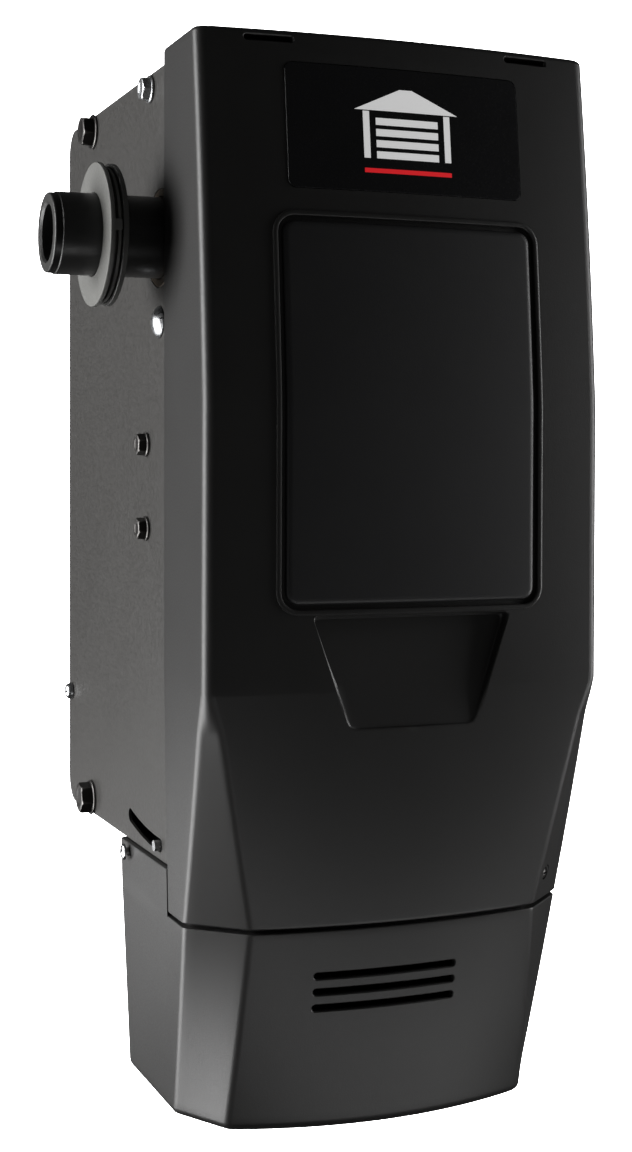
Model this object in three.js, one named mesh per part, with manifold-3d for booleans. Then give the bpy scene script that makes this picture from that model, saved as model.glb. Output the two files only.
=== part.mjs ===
// Wall-mounted (jackshaft) garage door opener.
//
// Millimetres, +Z up. The wall is behind the opener at Y = 0 and the front faces -Y.
// The origin lies on the chassis's wall face, on the centre plane, level with the axis
// of the drive sleeve, which runs along X and clamps the door's torsion shaft.

import * as THREE from 'three';
import { mergeVertices } from 'three/addons/utils/BufferGeometryUtils.js';
import Module from 'manifold-3d';

const wasm = await Module();
wasm.setup();

// ---- Driving dimensions --------------------------------------------------------------

const gap = 0.3;                    // clearance between pieces that touch or slide

// Drive sleeve and the nylon collar snapped onto it
const sleeveBore = 25.8;            // takes a 25.4 shaft
const sleeveWall = 5.85;
const sleeveDepth = 177;            // wall to sleeve axis
const sleeveReachLeft = 49.5;       // beyond the cover on the collar's side
const sleeveReachRight = 2;         // beyond the cover on the other side
const collarRadius = 33;
const sleeveNeck = 3.5;             // length of the stepped-down end beyond the collar
const collarRimDrop = 2;            // second flange's radius below the first's
const collarDiscWidth = 2.1;
const collarNeckWidth = 1.9;
const collarFlangeWidth = 1.6;
const collarRib = 0.8;              // rib inside the collar, seated in the sleeve's groove
const collarWasherWidth = 2.4;
const collarOffset = 28;            // cover side to the outer face of the collar

// Moulded cover
const coverWidth = 190;
const bodyDepth = 264;              // wall to the fullest point of the front
const coverTop = 84;                // above the sleeve axis
const coverHeight = 392.5;          // top down to the seam
const coverWall = 3;
const coverEdge = 5;                // radius of the upright edges
const topEdge = 2.5;                // radius of the top's edges
const rearEdgeClearance = 0.85;     // cover's rear edge to the sleeve
const fullestZ = -78.5;             // where the front stands furthest out
const facetDrop = 105.5;            // height of the tapering corner facets above the seam
const frontBow = 6;                 // centre of the front ahead of its corners
const seamBow = 13.5;
const bottomBow = 20;
const facetSide = 16.5;             // facet's reach along the side, at the seam
const facetFront = 24;              // facet's reach along the front, at the seam
const bottomFacetSide = 21.7;
const bottomFacetFront = 15.8;
const seamDraw = 2;                 // each side has drawn in this much at the seam
const bottomDraw = 6.2;             // and this much at the bottom

// Lower cover
const seamGap = 1.8;
const lowerHeight = 93.5;
const lowerRearDepth = 116;         // wall to its back
const lipHeight = 6;
const lipWall = 1.6;

// Front panel, scoop, label and slots
const panelHalfWidth = 64;
const panelTop = 4.5;
const panelHeight = 175;
const panelCorner = 10;
const beadWidth = 2.4;
const beadProud = 1.4;
const grooveWidth = 2.2;
const panelDepth = 1.8;
const scoopTopHalf = 47;
const scoopBottomHalf = 29.5;
const scoopHeight = 49;
const scoopDepth = 7;
const labelHalfWidth = 56.5;
const labelBottom = 14;
const labelHeight = 56;
const ventLength = 68;
const ventHeight = 3.1;
const ventPitch = 7.4;
const ventX = -6;                   // vents sit a little left of the middle
const ventCount = 3;
const ventDrop = 20.7;              // lower cover's top edge to the first vent
const topSlotInner = 51.5;
const topSlotLength = 22;
const topSlotHeight = 2.6;

// Sheet-steel chassis
const plateInset = 4;               // cover side to the chassis plate's outer face
const plate = 1.5;                  // sheet thickness
const plateReach = 218;             // wall to the plates' front edges
const plateDrop = 5;                // cover's top down to the plates' top
const plateLift = 20;               // seam up to the plates' bottom
const plateCorner = 13;
const bearingSeat = 23;             // radius of the bearing's hole
const bearingFlange = 28;
const backFlange = 20;              // depth of the back sheet's folded edges
const wallHoleRadius = 3.5;

// Worm drive
const module = 2;
const wheelTeeth = 45;
const wormRadius = 11;              // pitch radius, one start
const toothWidth = 2.5;             // at the pitch line, on wheel and worm alike
const wheelWidth = 14;
const wheelX = 10;
const hubRadius = 28;
const hubLeft = 15.3;               // hub beyond the wheel's left face
const hubRight = 8;
const wormLength = 36;
const shaftRadius = 5;

// Clutch and release
const dogRadius = 27;
const dogLength = 21.4;
const dogTooth = 4.4;
const dogGrooveRadius = 22.5;
const dogTravel = 4.6;
const studDrop = 39;                // release stud below the sleeve axis
const studRadius = 5;
const leverReach = 243;
const leverSwing = 12;              // degrees
const tabRadius = 2.5;

// Motor
const motorRadius = 38;
const motorTop = -60;
const motorLength = 130;
const motorCap = 10;

// ---- Places worked out from them -----------------------------------------------------

const halfWidth = coverWidth / 2;
const sleeveRadius = sleeveBore / 2 + sleeveWall;
const sleeveY = -sleeveDepth;
const coverRearY = sleeveY - sleeveRadius - rearEdgeClearance;
const frontY = -bodyDepth;
const seamZ = coverTop - coverHeight;
const apexZ = seamZ + facetDrop;
const lowerTop = seamZ - seamGap;
const lowerBottom = lowerTop - lowerHeight;
const plateTop = coverTop - plateDrop;
const plateBottom = seamZ + plateLift;
const sideTop = Math.max(plateBottom - 0.5, lowerTop + 1);
const plateX = halfWidth - plateInset;
const insideX = plateX - plate - gap;
const wheelRadius = module * wheelTeeth / 2;
const wormY = sleeveY + wheelRadius + wormRadius;
const studZ = -studDrop;
const dogRight = wheelX - wheelWidth / 2 - hubLeft - gap;

// ---- Solids --------------------------------------------------------------------------

/** A closed solid from a three.js geometry, with its faces turned outwards. */
function solidOf(geometry) {
  const bare = new THREE.BufferGeometry();
  bare.setAttribute('position', geometry.getAttribute('position').clone());
  if (geometry.index) bare.setIndex(geometry.index.clone());
  const merged = mergeVertices(bare, 1e-4);
  const points = merged.getAttribute('position').array;
  const corners = merged.index.array;
  const faces = [];
  let volume = 0;
  for (let i = 0; i < corners.length; i += 3) {
    const [a, b, c] = [corners[i], corners[i + 1], corners[i + 2]];
    if (a === b || b === c || c === a) continue;
    faces.push(a, b, c);
    const p = new THREE.Vector3().fromArray(points, 3 * a);
    const q = new THREE.Vector3().fromArray(points, 3 * b);
    const r = new THREE.Vector3().fromArray(points, 3 * c);
    volume += p.dot(q.cross(r));
  }
  if (volume < 0) faces.reverse();
  return new wasm.Manifold(new wasm.Mesh({
    numProp: 3,
    vertProperties: new Float32Array(points),
    triVerts: new Uint32Array(faces),
  }));
}

/** The three.js geometry of a solid. */
function geometryOf(solid) {
  const mesh = solid.getMesh();
  const geometry = new THREE.BufferGeometry();
  geometry.setAttribute('position', new THREE.BufferAttribute(mesh.vertProperties, 3));
  geometry.setIndex(new THREE.BufferAttribute(mesh.triVerts, 1));
  geometry.computeVertexNormals();
  return geometry;
}

function box(x0, x1, y0, y1, z0, z1) {
  const geometry = new THREE.BoxGeometry(x1 - x0, y1 - y0, z1 - z0);
  geometry.translate((x0 + x1) / 2, (y0 + y1) / 2, (z0 + z1) / 2);
  return solidOf(geometry);
}

/** A flat outline in (Y, Z), extruded from x0 to x1. */
function extrudeX(shape, x0, x1) {
  const settings = { depth: x1 - x0, bevelEnabled: false, curveSegments: 3 };
  const geometry = new THREE.ExtrudeGeometry(shape, settings);
  geometry.rotateZ(Math.PI / 2).rotateY(Math.PI / 2).translate(x0, 0, 0);
  return solidOf(geometry);
}

/** A flat outline in (X, Z), extruded from y0 to y1. */
function extrudeY(shape, y0, y1) {
  const settings = { depth: y1 - y0, bevelEnabled: false, curveSegments: 3 };
  const geometry = new THREE.ExtrudeGeometry(shape, settings);
  geometry.rotateX(Math.PI / 2).translate(0, y1, 0);
  return solidOf(geometry);
}

/** A flat outline in (X, Y), extruded from z0 to z1. */
function extrudeZ(shape, z0, z1) {
  const settings = { depth: z1 - z0, bevelEnabled: false, curveSegments: 3 };
  return solidOf(new THREE.ExtrudeGeometry(shape, settings).translate(0, 0, z0));
}

/** A turned solid about X; each profile point is [x, radius]. */
function turnX(profile, segments = 24) {
  const points = profile.map(([x, radius]) => new THREE.Vector2(radius, x));
  return solidOf(new THREE.LatheGeometry(points, segments).rotateZ(-Math.PI / 2));
}

/** A turned solid about Z; each profile point is [radius, z]. */
function turnZ(profile, segments = 24) {
  const points = profile.map(([radius, z]) => new THREE.Vector2(radius, z));
  return solidOf(new THREE.LatheGeometry(points, segments).rotateX(Math.PI / 2));
}

/** A round bar along X at (y, z). */
function rodX(x0, x1, y, z, radius, segments = 16) {
  return turnX([[x0, 0], [x0, radius], [x1, radius], [x1, 0]], segments).translate(0, y, z);
}

/** A round bar along Y at (x, z). */
function rodY(y0, y1, x, z, radius, segments = 16) {
  return rodX(y0, y1, 0, 0, radius, segments).rotate([0, 0, 90]).translate(x, 0, z);
}

/** A round bar along Z at (x, y). */
function rodZ(z0, z1, x, y, radius, segments = 16) {
  return turnZ([[0, z0], [radius, z0], [radius, z1], [0, z1]], segments).translate(x, y, 0);
}

/** The closed tube between two radii, along X. */
function tubeX(x0, x1, inner, outer, segments = 24) {
  const profile = [[x0, inner], [x0, outer], [x1, outer], [x1, inner], [x0, inner]];
  return turnX(profile, segments);
}

function polygon(points) {
  return new THREE.Shape(points.map(([x, y]) => new THREE.Vector2(x, y)));
}

function roundedRect(x0, y0, x1, y1, radius) {
  const shape = new THREE.Shape();
  shape.moveTo(x0 + radius, y0);
  shape.absarc(x1 - radius, y0 + radius, radius, -Math.PI / 2, 0);
  shape.absarc(x1 - radius, y1 - radius, radius, 0, Math.PI / 2);
  shape.absarc(x0 + radius, y1 - radius, radius, Math.PI / 2, Math.PI);
  shape.absarc(x0 + radius, y0 + radius, radius, Math.PI, 1.5 * Math.PI);
  return shape;
}

function evenly(from, to, count) {
  return Array.from({ length: count + 1 }, (_, i) => from + (to - from) * i / count);
}

// ---- The covers' common body ---------------------------------------------------------

/** How the front is shaped at height z: its centre, bow and corner cut. */
function frontAt(z) {
  const above = Math.max(0, z - fullestZ);
  const middle = Math.min(Math.max(0, fullestZ - z), fullestZ - apexZ);
  const below = Math.max(0, apexZ - z);
  const lean = 0.055 * above + 0.00022 * above ** 2 + 0.011 * middle;
  const chin = 0.09 * below + 0.00028 * below ** 2;
  const upper = Math.min(1, below / facetDrop);
  const lower = Math.max(0, below - facetDrop) / lowerHeight;
  const blend = (top, seam, bottom) => top + (seam - top) * upper + (bottom - seam) * lower;
  return {
    centreY: frontY + lean + chin,
    bow: blend(frontBow, seamBow, bottomBow),
    side: blend(coverEdge, facetSide, bottomFacetSide),
    front: blend(coverEdge, facetFront, bottomFacetFront),
    draw: blend(0, seamDraw, bottomDraw),
    flat: Math.min(1, upper * 6),
  };
}

/** The horizontal outline at height z, moved outwards by offset. */
function outlineAt(z, offset, rearY) {
  const { centreY, bow, side, front, draw, flat } = frontAt(z);
  const half = halfWidth + offset - draw;
  const yAt = (x) => centreY - offset + bow * (x / half) ** 2;
  const start = new THREE.Vector2(half, yAt(half) + side);
  const end = new THREE.Vector2(half - front, yAt(half - front));
  const chord = start.clone().lerp(end, 0.5);
  const corner = new THREE.Vector2(half, yAt(half)).lerp(chord, flat);
  const edge = new THREE.QuadraticBezierCurve(start, corner, end).getPoints(3);
  const across = evenly(end.x, -end.x, 8).slice(1, -1).map((x) => new THREE.Vector2(x, yAt(x)));
  const mirrored = edge.map((p) => new THREE.Vector2(-p.x, p.y)).reverse();
  const rear = [new THREE.Vector2(-half, rearY), new THREE.Vector2(half, rearY)];
  return [...edge, ...across, ...mirrored, ...rear];
}

/** A solid lofted through clockwise outlines; each ring is { z, points }, bottom first. */
function loft(rings) {
  const count = rings[0].points.length;
  const positions = rings.flatMap(({ z, points }) => points.flatMap((p) => [p.x, p.y, z]));
  const index = [];
  for (let level = 0; level + 1 < rings.length; level++) {
    for (let i = 0; i < count; i++) {
      const a = level * count + i;
      const b = level * count + (i + 1) % count;
      index.push(a, b + count, b, a, a + count, b + count);
    }
  }
  const last = (rings.length - 1) * count;
  for (const [a, b, c] of THREE.ShapeUtils.triangulateShape(rings[0].points, [])) {
    index.push(c, b, a);
  }
  for (const [a, b, c] of THREE.ShapeUtils.triangulateShape(rings.at(-1).points, [])) {
    index.push(last + a, last + b, last + c);
  }
  const geometry = new THREE.BufferGeometry();
  geometry.setAttribute('position', new THREE.Float32BufferAttribute(positions, 3));
  geometry.setIndex(index);
  return solidOf(geometry);
}

/** The main cover's body, moved outwards by offset, with rounded top edges. */
function upperBody(offset, rearExtra = 0) {
  const top = coverTop + offset;
  const levels = [
    ...evenly(seamZ - (offset < -1 ? 6 : 0), apexZ, 5),
    ...evenly(apexZ, top - topEdge, 9).slice(1),
  ];
  const rings = levels.map((z) => ({ z, points: outlineAt(z, offset, coverRearY + rearExtra) }));
  for (const turn of [30, 60, 90]) {
    const angle = THREE.MathUtils.degToRad(turn);
    const z = top - topEdge + topEdge * Math.sin(angle);
    const inset = topEdge * (1 - Math.cos(angle));
    const points = outlineAt(z, offset - inset, coverRearY + rearExtra);
    rings.push({ z, points });
  }
  return loft(rings);
}

/** The lower cover's body, moved outwards by offset, with a rounded bottom edge. */
function lowerBody(offset, top) {
  const bottom = lowerBottom - offset;
  const ringAt = (z, inset) => {
    return { z, points: outlineAt(z, offset - inset, -lowerRearDepth + offset - inset) };
  };
  const rings = [0, 30, 60].map((turn) => {
    const angle = THREE.MathUtils.degToRad(turn);
    const inset = coverEdge * (1 - Math.sin(angle));
    return ringAt(bottom + coverEdge * (1 - Math.cos(angle)), inset);
  });
  const levels = evenly(bottom + coverEdge, Math.min(top, lowerTop), 4);
  if (top > lowerTop) levels.push(top);
  return loft([...rings, ...levels.map((z) => ringAt(z, 0))]);
}

/** The sheet that follows the front inside an outline, from depth below to proud above. */
function frontSheet(shape, depth, proud) {
  const block = extrudeY(shape, frontY - 10, frontY + 40);
  return block.intersect(upperBody(proud)).subtract(upperBody(-depth));
}

function panelShape(inset) {
  return roundedRect(
    -panelHalfWidth + inset, panelTop - panelHeight + inset,
    panelHalfWidth - inset, panelTop - inset, panelCorner - inset * 0.6,
  );
}

function labelShape(inset) {
  const x = labelHalfWidth - inset;
  return roundedRect(-x, labelBottom + inset, x, labelBottom + labelHeight - inset, 4);
}

// ---- Moulded covers ------------------------------------------------------------------

/** The wedge-shaped scoop under the front panel, grown by grow and sunk by sink. */
function scoop(grow, sink) {
  const top = panelTop - panelHeight - 1 + grow;
  const bottom = top - scoopHeight - 2 * grow;
  const topY = frontAt(top).centreY + scoopDepth + sink;
  const bottomY = frontAt(bottom).centreY + 1.2 + sink;
  const wedge = polygon([[frontY - 10, bottom], [bottomY, bottom], [topY, top], [frontY - 10, top]]);
  const face = polygon([
    [-scoopBottomHalf - grow, bottom], [scoopBottomHalf + grow, bottom],
    [scoopTopHalf + grow, top], [-scoopTopHalf - grow, top],
  ]);
  return extrudeX(wedge, -halfWidth, halfWidth).intersect(extrudeY(face, frontY - 20, frontY + 40));
}

/** A point and outward direction on the right-hand facet at height z. */
function facetPlace(z, share) {
  const points = outlineAt(z, 0, coverRearY);
  const [start, end] = [points[0], points[3]];
  const along = end.clone().sub(start);
  const out = new THREE.Vector3(-along.y, along.x, 0).normalize().negate();
  const at = start.clone().lerp(end, share);
  return { at: new THREE.Vector3(at.x, at.y, z), out: out.y > 0 ? out.negate() : out };
}

const frontScrewAt = facetPlace(seamZ + 13, 0.72);
const frontScrewRadius = 3;

/** A bar through the facet at the front screw. */
function frontScrewBar(radius, inside, outside) {
  const bar = rodX(-inside, outside, 0, 0, radius);
  const turn = THREE.MathUtils.radToDeg(Math.atan2(frontScrewAt.out.y, frontScrewAt.out.x));
  return bar.rotate([0, 0, turn]).translate(frontScrewAt.at.toArray());
}

function topSlots() {
  const z1 = coverTop - coverWall;
  const z0 = z1 - topSlotHeight;
  const ends = [topSlotInner, topSlotInner + topSlotLength];
  const right = box(ends[0], ends[1], frontY - 5, frontY + 45, z0, z1);
  const left = box(-ends[1], -ends[0], frontY - 5, frontY + 45, z0, z1);
  return right.add(left);
}

/** One-piece moulded shell, open at the back and at the bottom. */
function mainCover() {
  const bead = frontSheet(panelShape(0), 0.5, beadProud)
    .subtract(extrudeY(panelShape(beadWidth), frontY - 20, frontY + 45));
  const seat = frontSheet(panelShape(beadWidth + 0.01), panelDepth, 3);
  const labelSeat = frontSheet(labelShape(0), 0.8, 3);
  return upperBody(0)
    .subtract(upperBody(-coverWall, 20))
    .add(scoop(2.4, 2.4).intersect(upperBody(-0.5)))
    .add(bead)
    .subtract(seat)
    .subtract(labelSeat)
    .subtract(scoop(0, 0))
    .subtract(topSlots())
    .subtract(frontScrewBar(frontScrewRadius + gap, 12, 5));
}

/** Panel let into the front, inside the bead, with an open groove around it. */
function frontPanel() {
  return frontSheet(panelShape(beadWidth + grooveWidth), panelDepth - gap, 0.9);
}

function badgePlate() {
  return frontSheet(labelShape(gap), 0.8 - gap, 0.4);
}

function vents() {
  const slots = Array.from({ length: ventCount }, (_, i) => {
    const z = lowerTop - ventDrop - i * ventPitch;
    const [left, right] = [ventX - ventLength / 2, ventX + ventLength / 2];
    const slot = roundedRect(left, z - ventHeight / 2, right, z + ventHeight / 2, 1.5);
    return extrudeY(slot, frontY - 5, frontY + 45);
  });
  return slots.reduce((all, slot) => all.add(slot));
}

const buttonX = [20, 34, 48];
const buttonY = -170;
const buttonRadius = 3.8;
const ledX = 6;
const ledRadius = 2.5;
const coverScrewY = -131;
const coverScrewZ = sideTop - 4.5;
const coverScrewRadius = 2;
const inletX = -50;
const inletZ = lowerBottom + 27;
const inletRadius = 8.7;

/** Moulded tray that closes the bottom; its sides rise beside the chassis at the back. */
function lowerCover() {
  const aboveSeam = box(-halfWidth - 5, halfWidth + 5, frontY - 9, coverRearY + 1, lowerTop, sideTop + 20);
  const lipZone = box(-halfWidth, halfWidth, frontY, coverRearY - 4, lowerTop - 8, lowerTop + lipHeight);
  const rootZone = box(-halfWidth, halfWidth, frontY, coverRearY - 4, lowerTop - 8, lowerTop - 0.01);
  const inside = lowerBody(-coverWall - gap - 0.1 - lipWall, lowerTop + lipHeight + 5);
  const lip = lowerBody(-coverWall - gap - 0.1, lowerTop + lipHeight).intersect(lipZone).subtract(inside);
  const lipRoot = lowerBody(-coverWall + 0.5, lowerTop).intersect(rootZone).subtract(inside);
  let cover = lowerBody(0, sideTop)
    .subtract(lowerBody(-coverWall, sideTop + 10))
    .subtract(aboveSeam)
    .add(lip)
    .add(lipRoot)
    .subtract(vents())
    .subtract(rodX(-halfWidth - 5, halfWidth + 5, coverScrewY, coverScrewZ, coverScrewRadius + gap))
    .subtract(rodY(-170, -90, inletX, inletZ, inletRadius + gap));
  for (const x of buttonX) {
    cover = cover.subtract(rodZ(lowerBottom - 5, lowerBottom + 9, x, buttonY, buttonRadius + gap));
  }
  return cover.subtract(rodZ(lowerBottom - 5, lowerBottom + 9, ledX, buttonY, ledRadius + gap));
}

// ---- Chassis -------------------------------------------------------------------------

const hexBolts = [                  // [name, y, z, across flats, head height, shank radius]
  ['upper_front_bolt', sleeveY + 15, plateTop - 7, 10, 5, 3],
  ['upper_rear_bolt', -54, plateTop - 8, 14, 7, 4],
  ['lower_rear_bolt', -50, plateBottom + 8, 14, 7, 4],
  ['bracket_bolt_upper', wormY - 34, motorTop - 35.5, 9, 5, 2.5],
  ['bracket_bolt_lower', wormY - 34, motorTop - 75.4, 9, 5, 2.5],
];
const rearScrew = { y: -6.5, z: -229, head: 4.5, proud: 4, shank: 2 };

/** A side plate; side is -1 on the left. Its front slants back where the cover draws in. */
function sidePlate(side) {
  const slantEnd = apexZ - facetDrop * (plateInset - coverWall - gap) / seamDraw;
  const outline = new THREE.Shape();
  outline.moveTo(-plateReach, apexZ);
  outline.lineTo(coverRearY + coverWall, slantEnd);
  outline.lineTo(coverRearY + coverWall, plateBottom);
  outline.lineTo(-plateCorner, plateBottom);
  outline.absarc(-plateCorner, plateBottom + plateCorner, plateCorner, -Math.PI / 2, 0);
  outline.absarc(-plateCorner, plateTop - plateCorner, plateCorner, 0, Math.PI / 2);
  outline.lineTo(-plateReach, plateTop);
  const outer = side * plateX;
  const inner = side * (plateX - plate);
  const [x0, x1] = [Math.min(outer, inner), Math.max(outer, inner)];
  let sheet = extrudeX(outline, x0, x1)
    .subtract(rodX(x0 - 1, x1 + 1, sleeveY, 0, bearingSeat, 32));
  for (const [, y, z, , , shank] of hexBolts) {
    sheet = sheet.subtract(rodX(x0 - 1, x1 + 1, y, z, shank + gap, 12));
  }
  sheet = sheet.subtract(rodX(x0 - 1, x1 + 1, rearScrew.y, rearScrew.z, rearScrew.shank + gap, 12));
  if (side > 0) return sheet;
  return sheet
    .subtract(rodX(x0 - 1, x1 + 1, sleeveY, studZ, studRadius + gap, 24))
    .subtract(leverSlot(x0 - 1, x1 + 1));
}

/** The curved slot that the release lever's tab moves in. */
function leverSlot(x0, x1) {
  const half = tabRadius + 0.75;
  const down = -Math.PI / 2;
  const from = down - 0.3 / leverReach;
  const to = down + THREE.MathUtils.degToRad(leverSwing) + 0.3 / leverReach;
  const slot = new THREE.Shape();
  const endAt = (angle) => [sleeveY + leverReach * Math.cos(angle), studZ + leverReach * Math.sin(angle)];
  slot.absarc(sleeveY, studZ, leverReach + half, from, to);
  slot.absarc(...endAt(to), half, to, to + Math.PI);
  slot.absarc(sleeveY, studZ, leverReach - half, to, from, true);
  slot.absarc(...endAt(from), half, from + Math.PI, from + 2 * Math.PI);
  return extrudeX(slot, x0, x1);
}

/** Folded back sheet with a flange along each side and four holes for wall screws. */
function backPlate() {
  const inner = insideX - plate;
  const channel = polygon([
    [-insideX, 0], [-insideX, -backFlange], [-inner, -backFlange], [-inner, -plate],
    [inner, -plate], [inner, -backFlange], [insideX, -backFlange], [insideX, 0],
  ]);
  const bottom = plateBottom + plate + gap;
  const top = plateTop - plate - 2 * gap;
  let sheet = extrudeZ(channel, bottom, top);
  for (const x of [-insideX + 35, insideX - 35]) {
    for (const z of [bottom + 30, top - 25]) {
      sheet = sheet.subtract(rodY(-plate - 1, 1, x, z, wallHoleRadius));
    }
  }
  const hole = rearScrew.shank + gap;
  return sheet.subtract(rodX(-plateX, plateX, rearScrew.y, rearScrew.z, hole, 12));
}

function topPlate() {
  const z1 = plateTop - gap;
  return box(-insideX, insideX, -plateReach, -plate, z1 - plate, z1);
}

/** Bottom sheet with two turned-down ears for the lower cover's screws. */
function bottomPlate() {
  const z0 = plateBottom;
  let sheet = box(-insideX, insideX, -plateReach, -plate, z0, z0 + plate);
  for (const side of [-1, 1]) {
    const x = [side * insideX, side * (insideX - plate)].sort((a, b) => a - b);
    sheet = sheet.add(box(x[0], x[1], coverScrewY - 10, coverScrewY + 10, coverScrewZ - 6, z0 + 0.5));
  }
  const holes = rodX(-halfWidth, halfWidth, coverScrewY, coverScrewZ, coverScrewRadius + gap, 12);
  return sheet.subtract(holes);
}

/** Flanged bush that carries the sleeve; drawn for the left plate, facing inwards. */
function sleeveBearing() {
  const shoulder = plate + gap;
  return turnX([
    [0, sleeveRadius + gap], [0, bearingSeat - gap], [shoulder, bearingSeat - gap],
    [shoulder, bearingFlange], [shoulder + 4, bearingFlange], [shoulder + 6, bearingFlange - 3],
    [shoulder + 6, sleeveRadius + gap], [0, sleeveRadius + gap],
  ]);
}

/** Hex-headed bolt pointing inwards along -X from its washer face at X = 0. */
function hexBolt(acrossFlats, headHeight, shankRadius, length) {
  const washer = 1.2;
  const corner = acrossFlats / Math.sqrt(3);
  const head = turnX([[0, 0], [0, corner], [headHeight, corner], [headHeight, 0]], 6);
  const crown = turnX([
    [0, 0], [0, corner], [headHeight - 1, corner], [headHeight, corner * 0.78], [headHeight, 0],
  ], 12);
  const disc = turnX([[0, 0], [0, corner * 1.12], [washer, corner * 1.12], [washer, 0]], 12);
  const shank = turnX([[-length, 0], [-length, shankRadius], [washer, shankRadius], [washer, 0]], 8);
  return head.intersect(crown).add(disc).add(shank);
}

/** Domed screw pointing inwards along -X, with a slotted head. */
function domeScrew(headRadius, proud, shankRadius, length) {
  const screw = turnX([
    [-length, 0], [-length, shankRadius], [0, shankRadius], [0, headRadius],
    [proud * 0.6, headRadius * 0.88], [proud, headRadius * 0.4], [proud, 0],
  ], 12);
  const arm = headRadius * 0.7;
  const slot = headRadius * 0.14;
  return screw.subtract(box(proud * 0.6, proud + 1, -arm, arm, -slot, slot));
}

// ---- Worm drive ----------------------------------------------------------------------

/** Worm wheel with teeth twisted to the worm's lead, and a hub on each side. */
function wormWheel() {
  const pressure = Math.tan(THREE.MathUtils.degToRad(20));
  const root = wheelRadius - 1.25 * module;
  const tip = wheelRadius + module;
  const rim = new THREE.Shape();
  for (let tooth = 0; tooth < wheelTeeth; tooth++) {
    const middle = 2 * Math.PI * tooth / wheelTeeth;
    const corners = [[root, -1], [tip, -1], [tip, 1], [root, 1]];
    corners.forEach(([radius, side], i) => {
      const half = toothWidth / 2 - (radius - wheelRadius) * pressure;
      const angle = middle + side * half / radius;
      const point = [radius * Math.cos(angle), radius * Math.sin(angle)];
      if (tooth + i === 0) rim.moveTo(...point);
      else rim.lineTo(...point);
    });
  }
  const settings = { depth: wheelWidth, bevelEnabled: false, steps: 1 };
  const geometry = new THREE.ExtrudeGeometry(rim, settings);
  geometry.rotateZ(Math.PI / 2).rotateY(Math.PI / 2).translate(-wheelWidth / 2, 0, 0);
  const position = geometry.getAttribute('position');
  for (let i = 0; i < position.count; i++) {
    const point = new THREE.Vector3().fromBufferAttribute(position, i);
    const twist = point.x / wormRadius / wheelRadius * (module / 2);
    point.applyAxisAngle(new THREE.Vector3(1, 0, 0), twist);
    position.setXYZ(i, point.x, point.y, point.z);
  }
  const left = -wheelWidth / 2 - hubLeft;
  const right = wheelWidth / 2 + hubRight;
  const bore = sleeveRadius + gap;
  const recess = wheelRadius - 8;
  const dish = tubeX(wheelWidth / 2 - 4, wheelWidth / 2 + 1, hubRadius + 2, recess);
  let wheel = solidOf(geometry)
    .subtract(dish)
    .subtract(dish.mirror([1, 0, 0]))
    .add(tubeX(left, 0, bore, hubRadius))
    .add(tubeX(0, right, bore, hubRadius - 2))
    .subtract(rodX(left - 1, right + 1, 0, 0, bore, 32));
  for (const angle of [0, 120, 240]) {
    wheel = wheel.subtract(dogBlock(left - 1, left + dogTooth, 0.75).rotate([angle, 0, 0]));
  }
  return wheel;
}

/** One driving dog, or the slot for it when it is grown. */
function dogBlock(x0, x1, grow) {
  const inner = sleeveRadius + 2.75 - grow;
  const outer = grow > 0 ? hubRadius + 2 : dogRadius - 0.5;
  return box(x0, x1, inner, outer, -5 - grow, 5 + grow);
}

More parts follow.
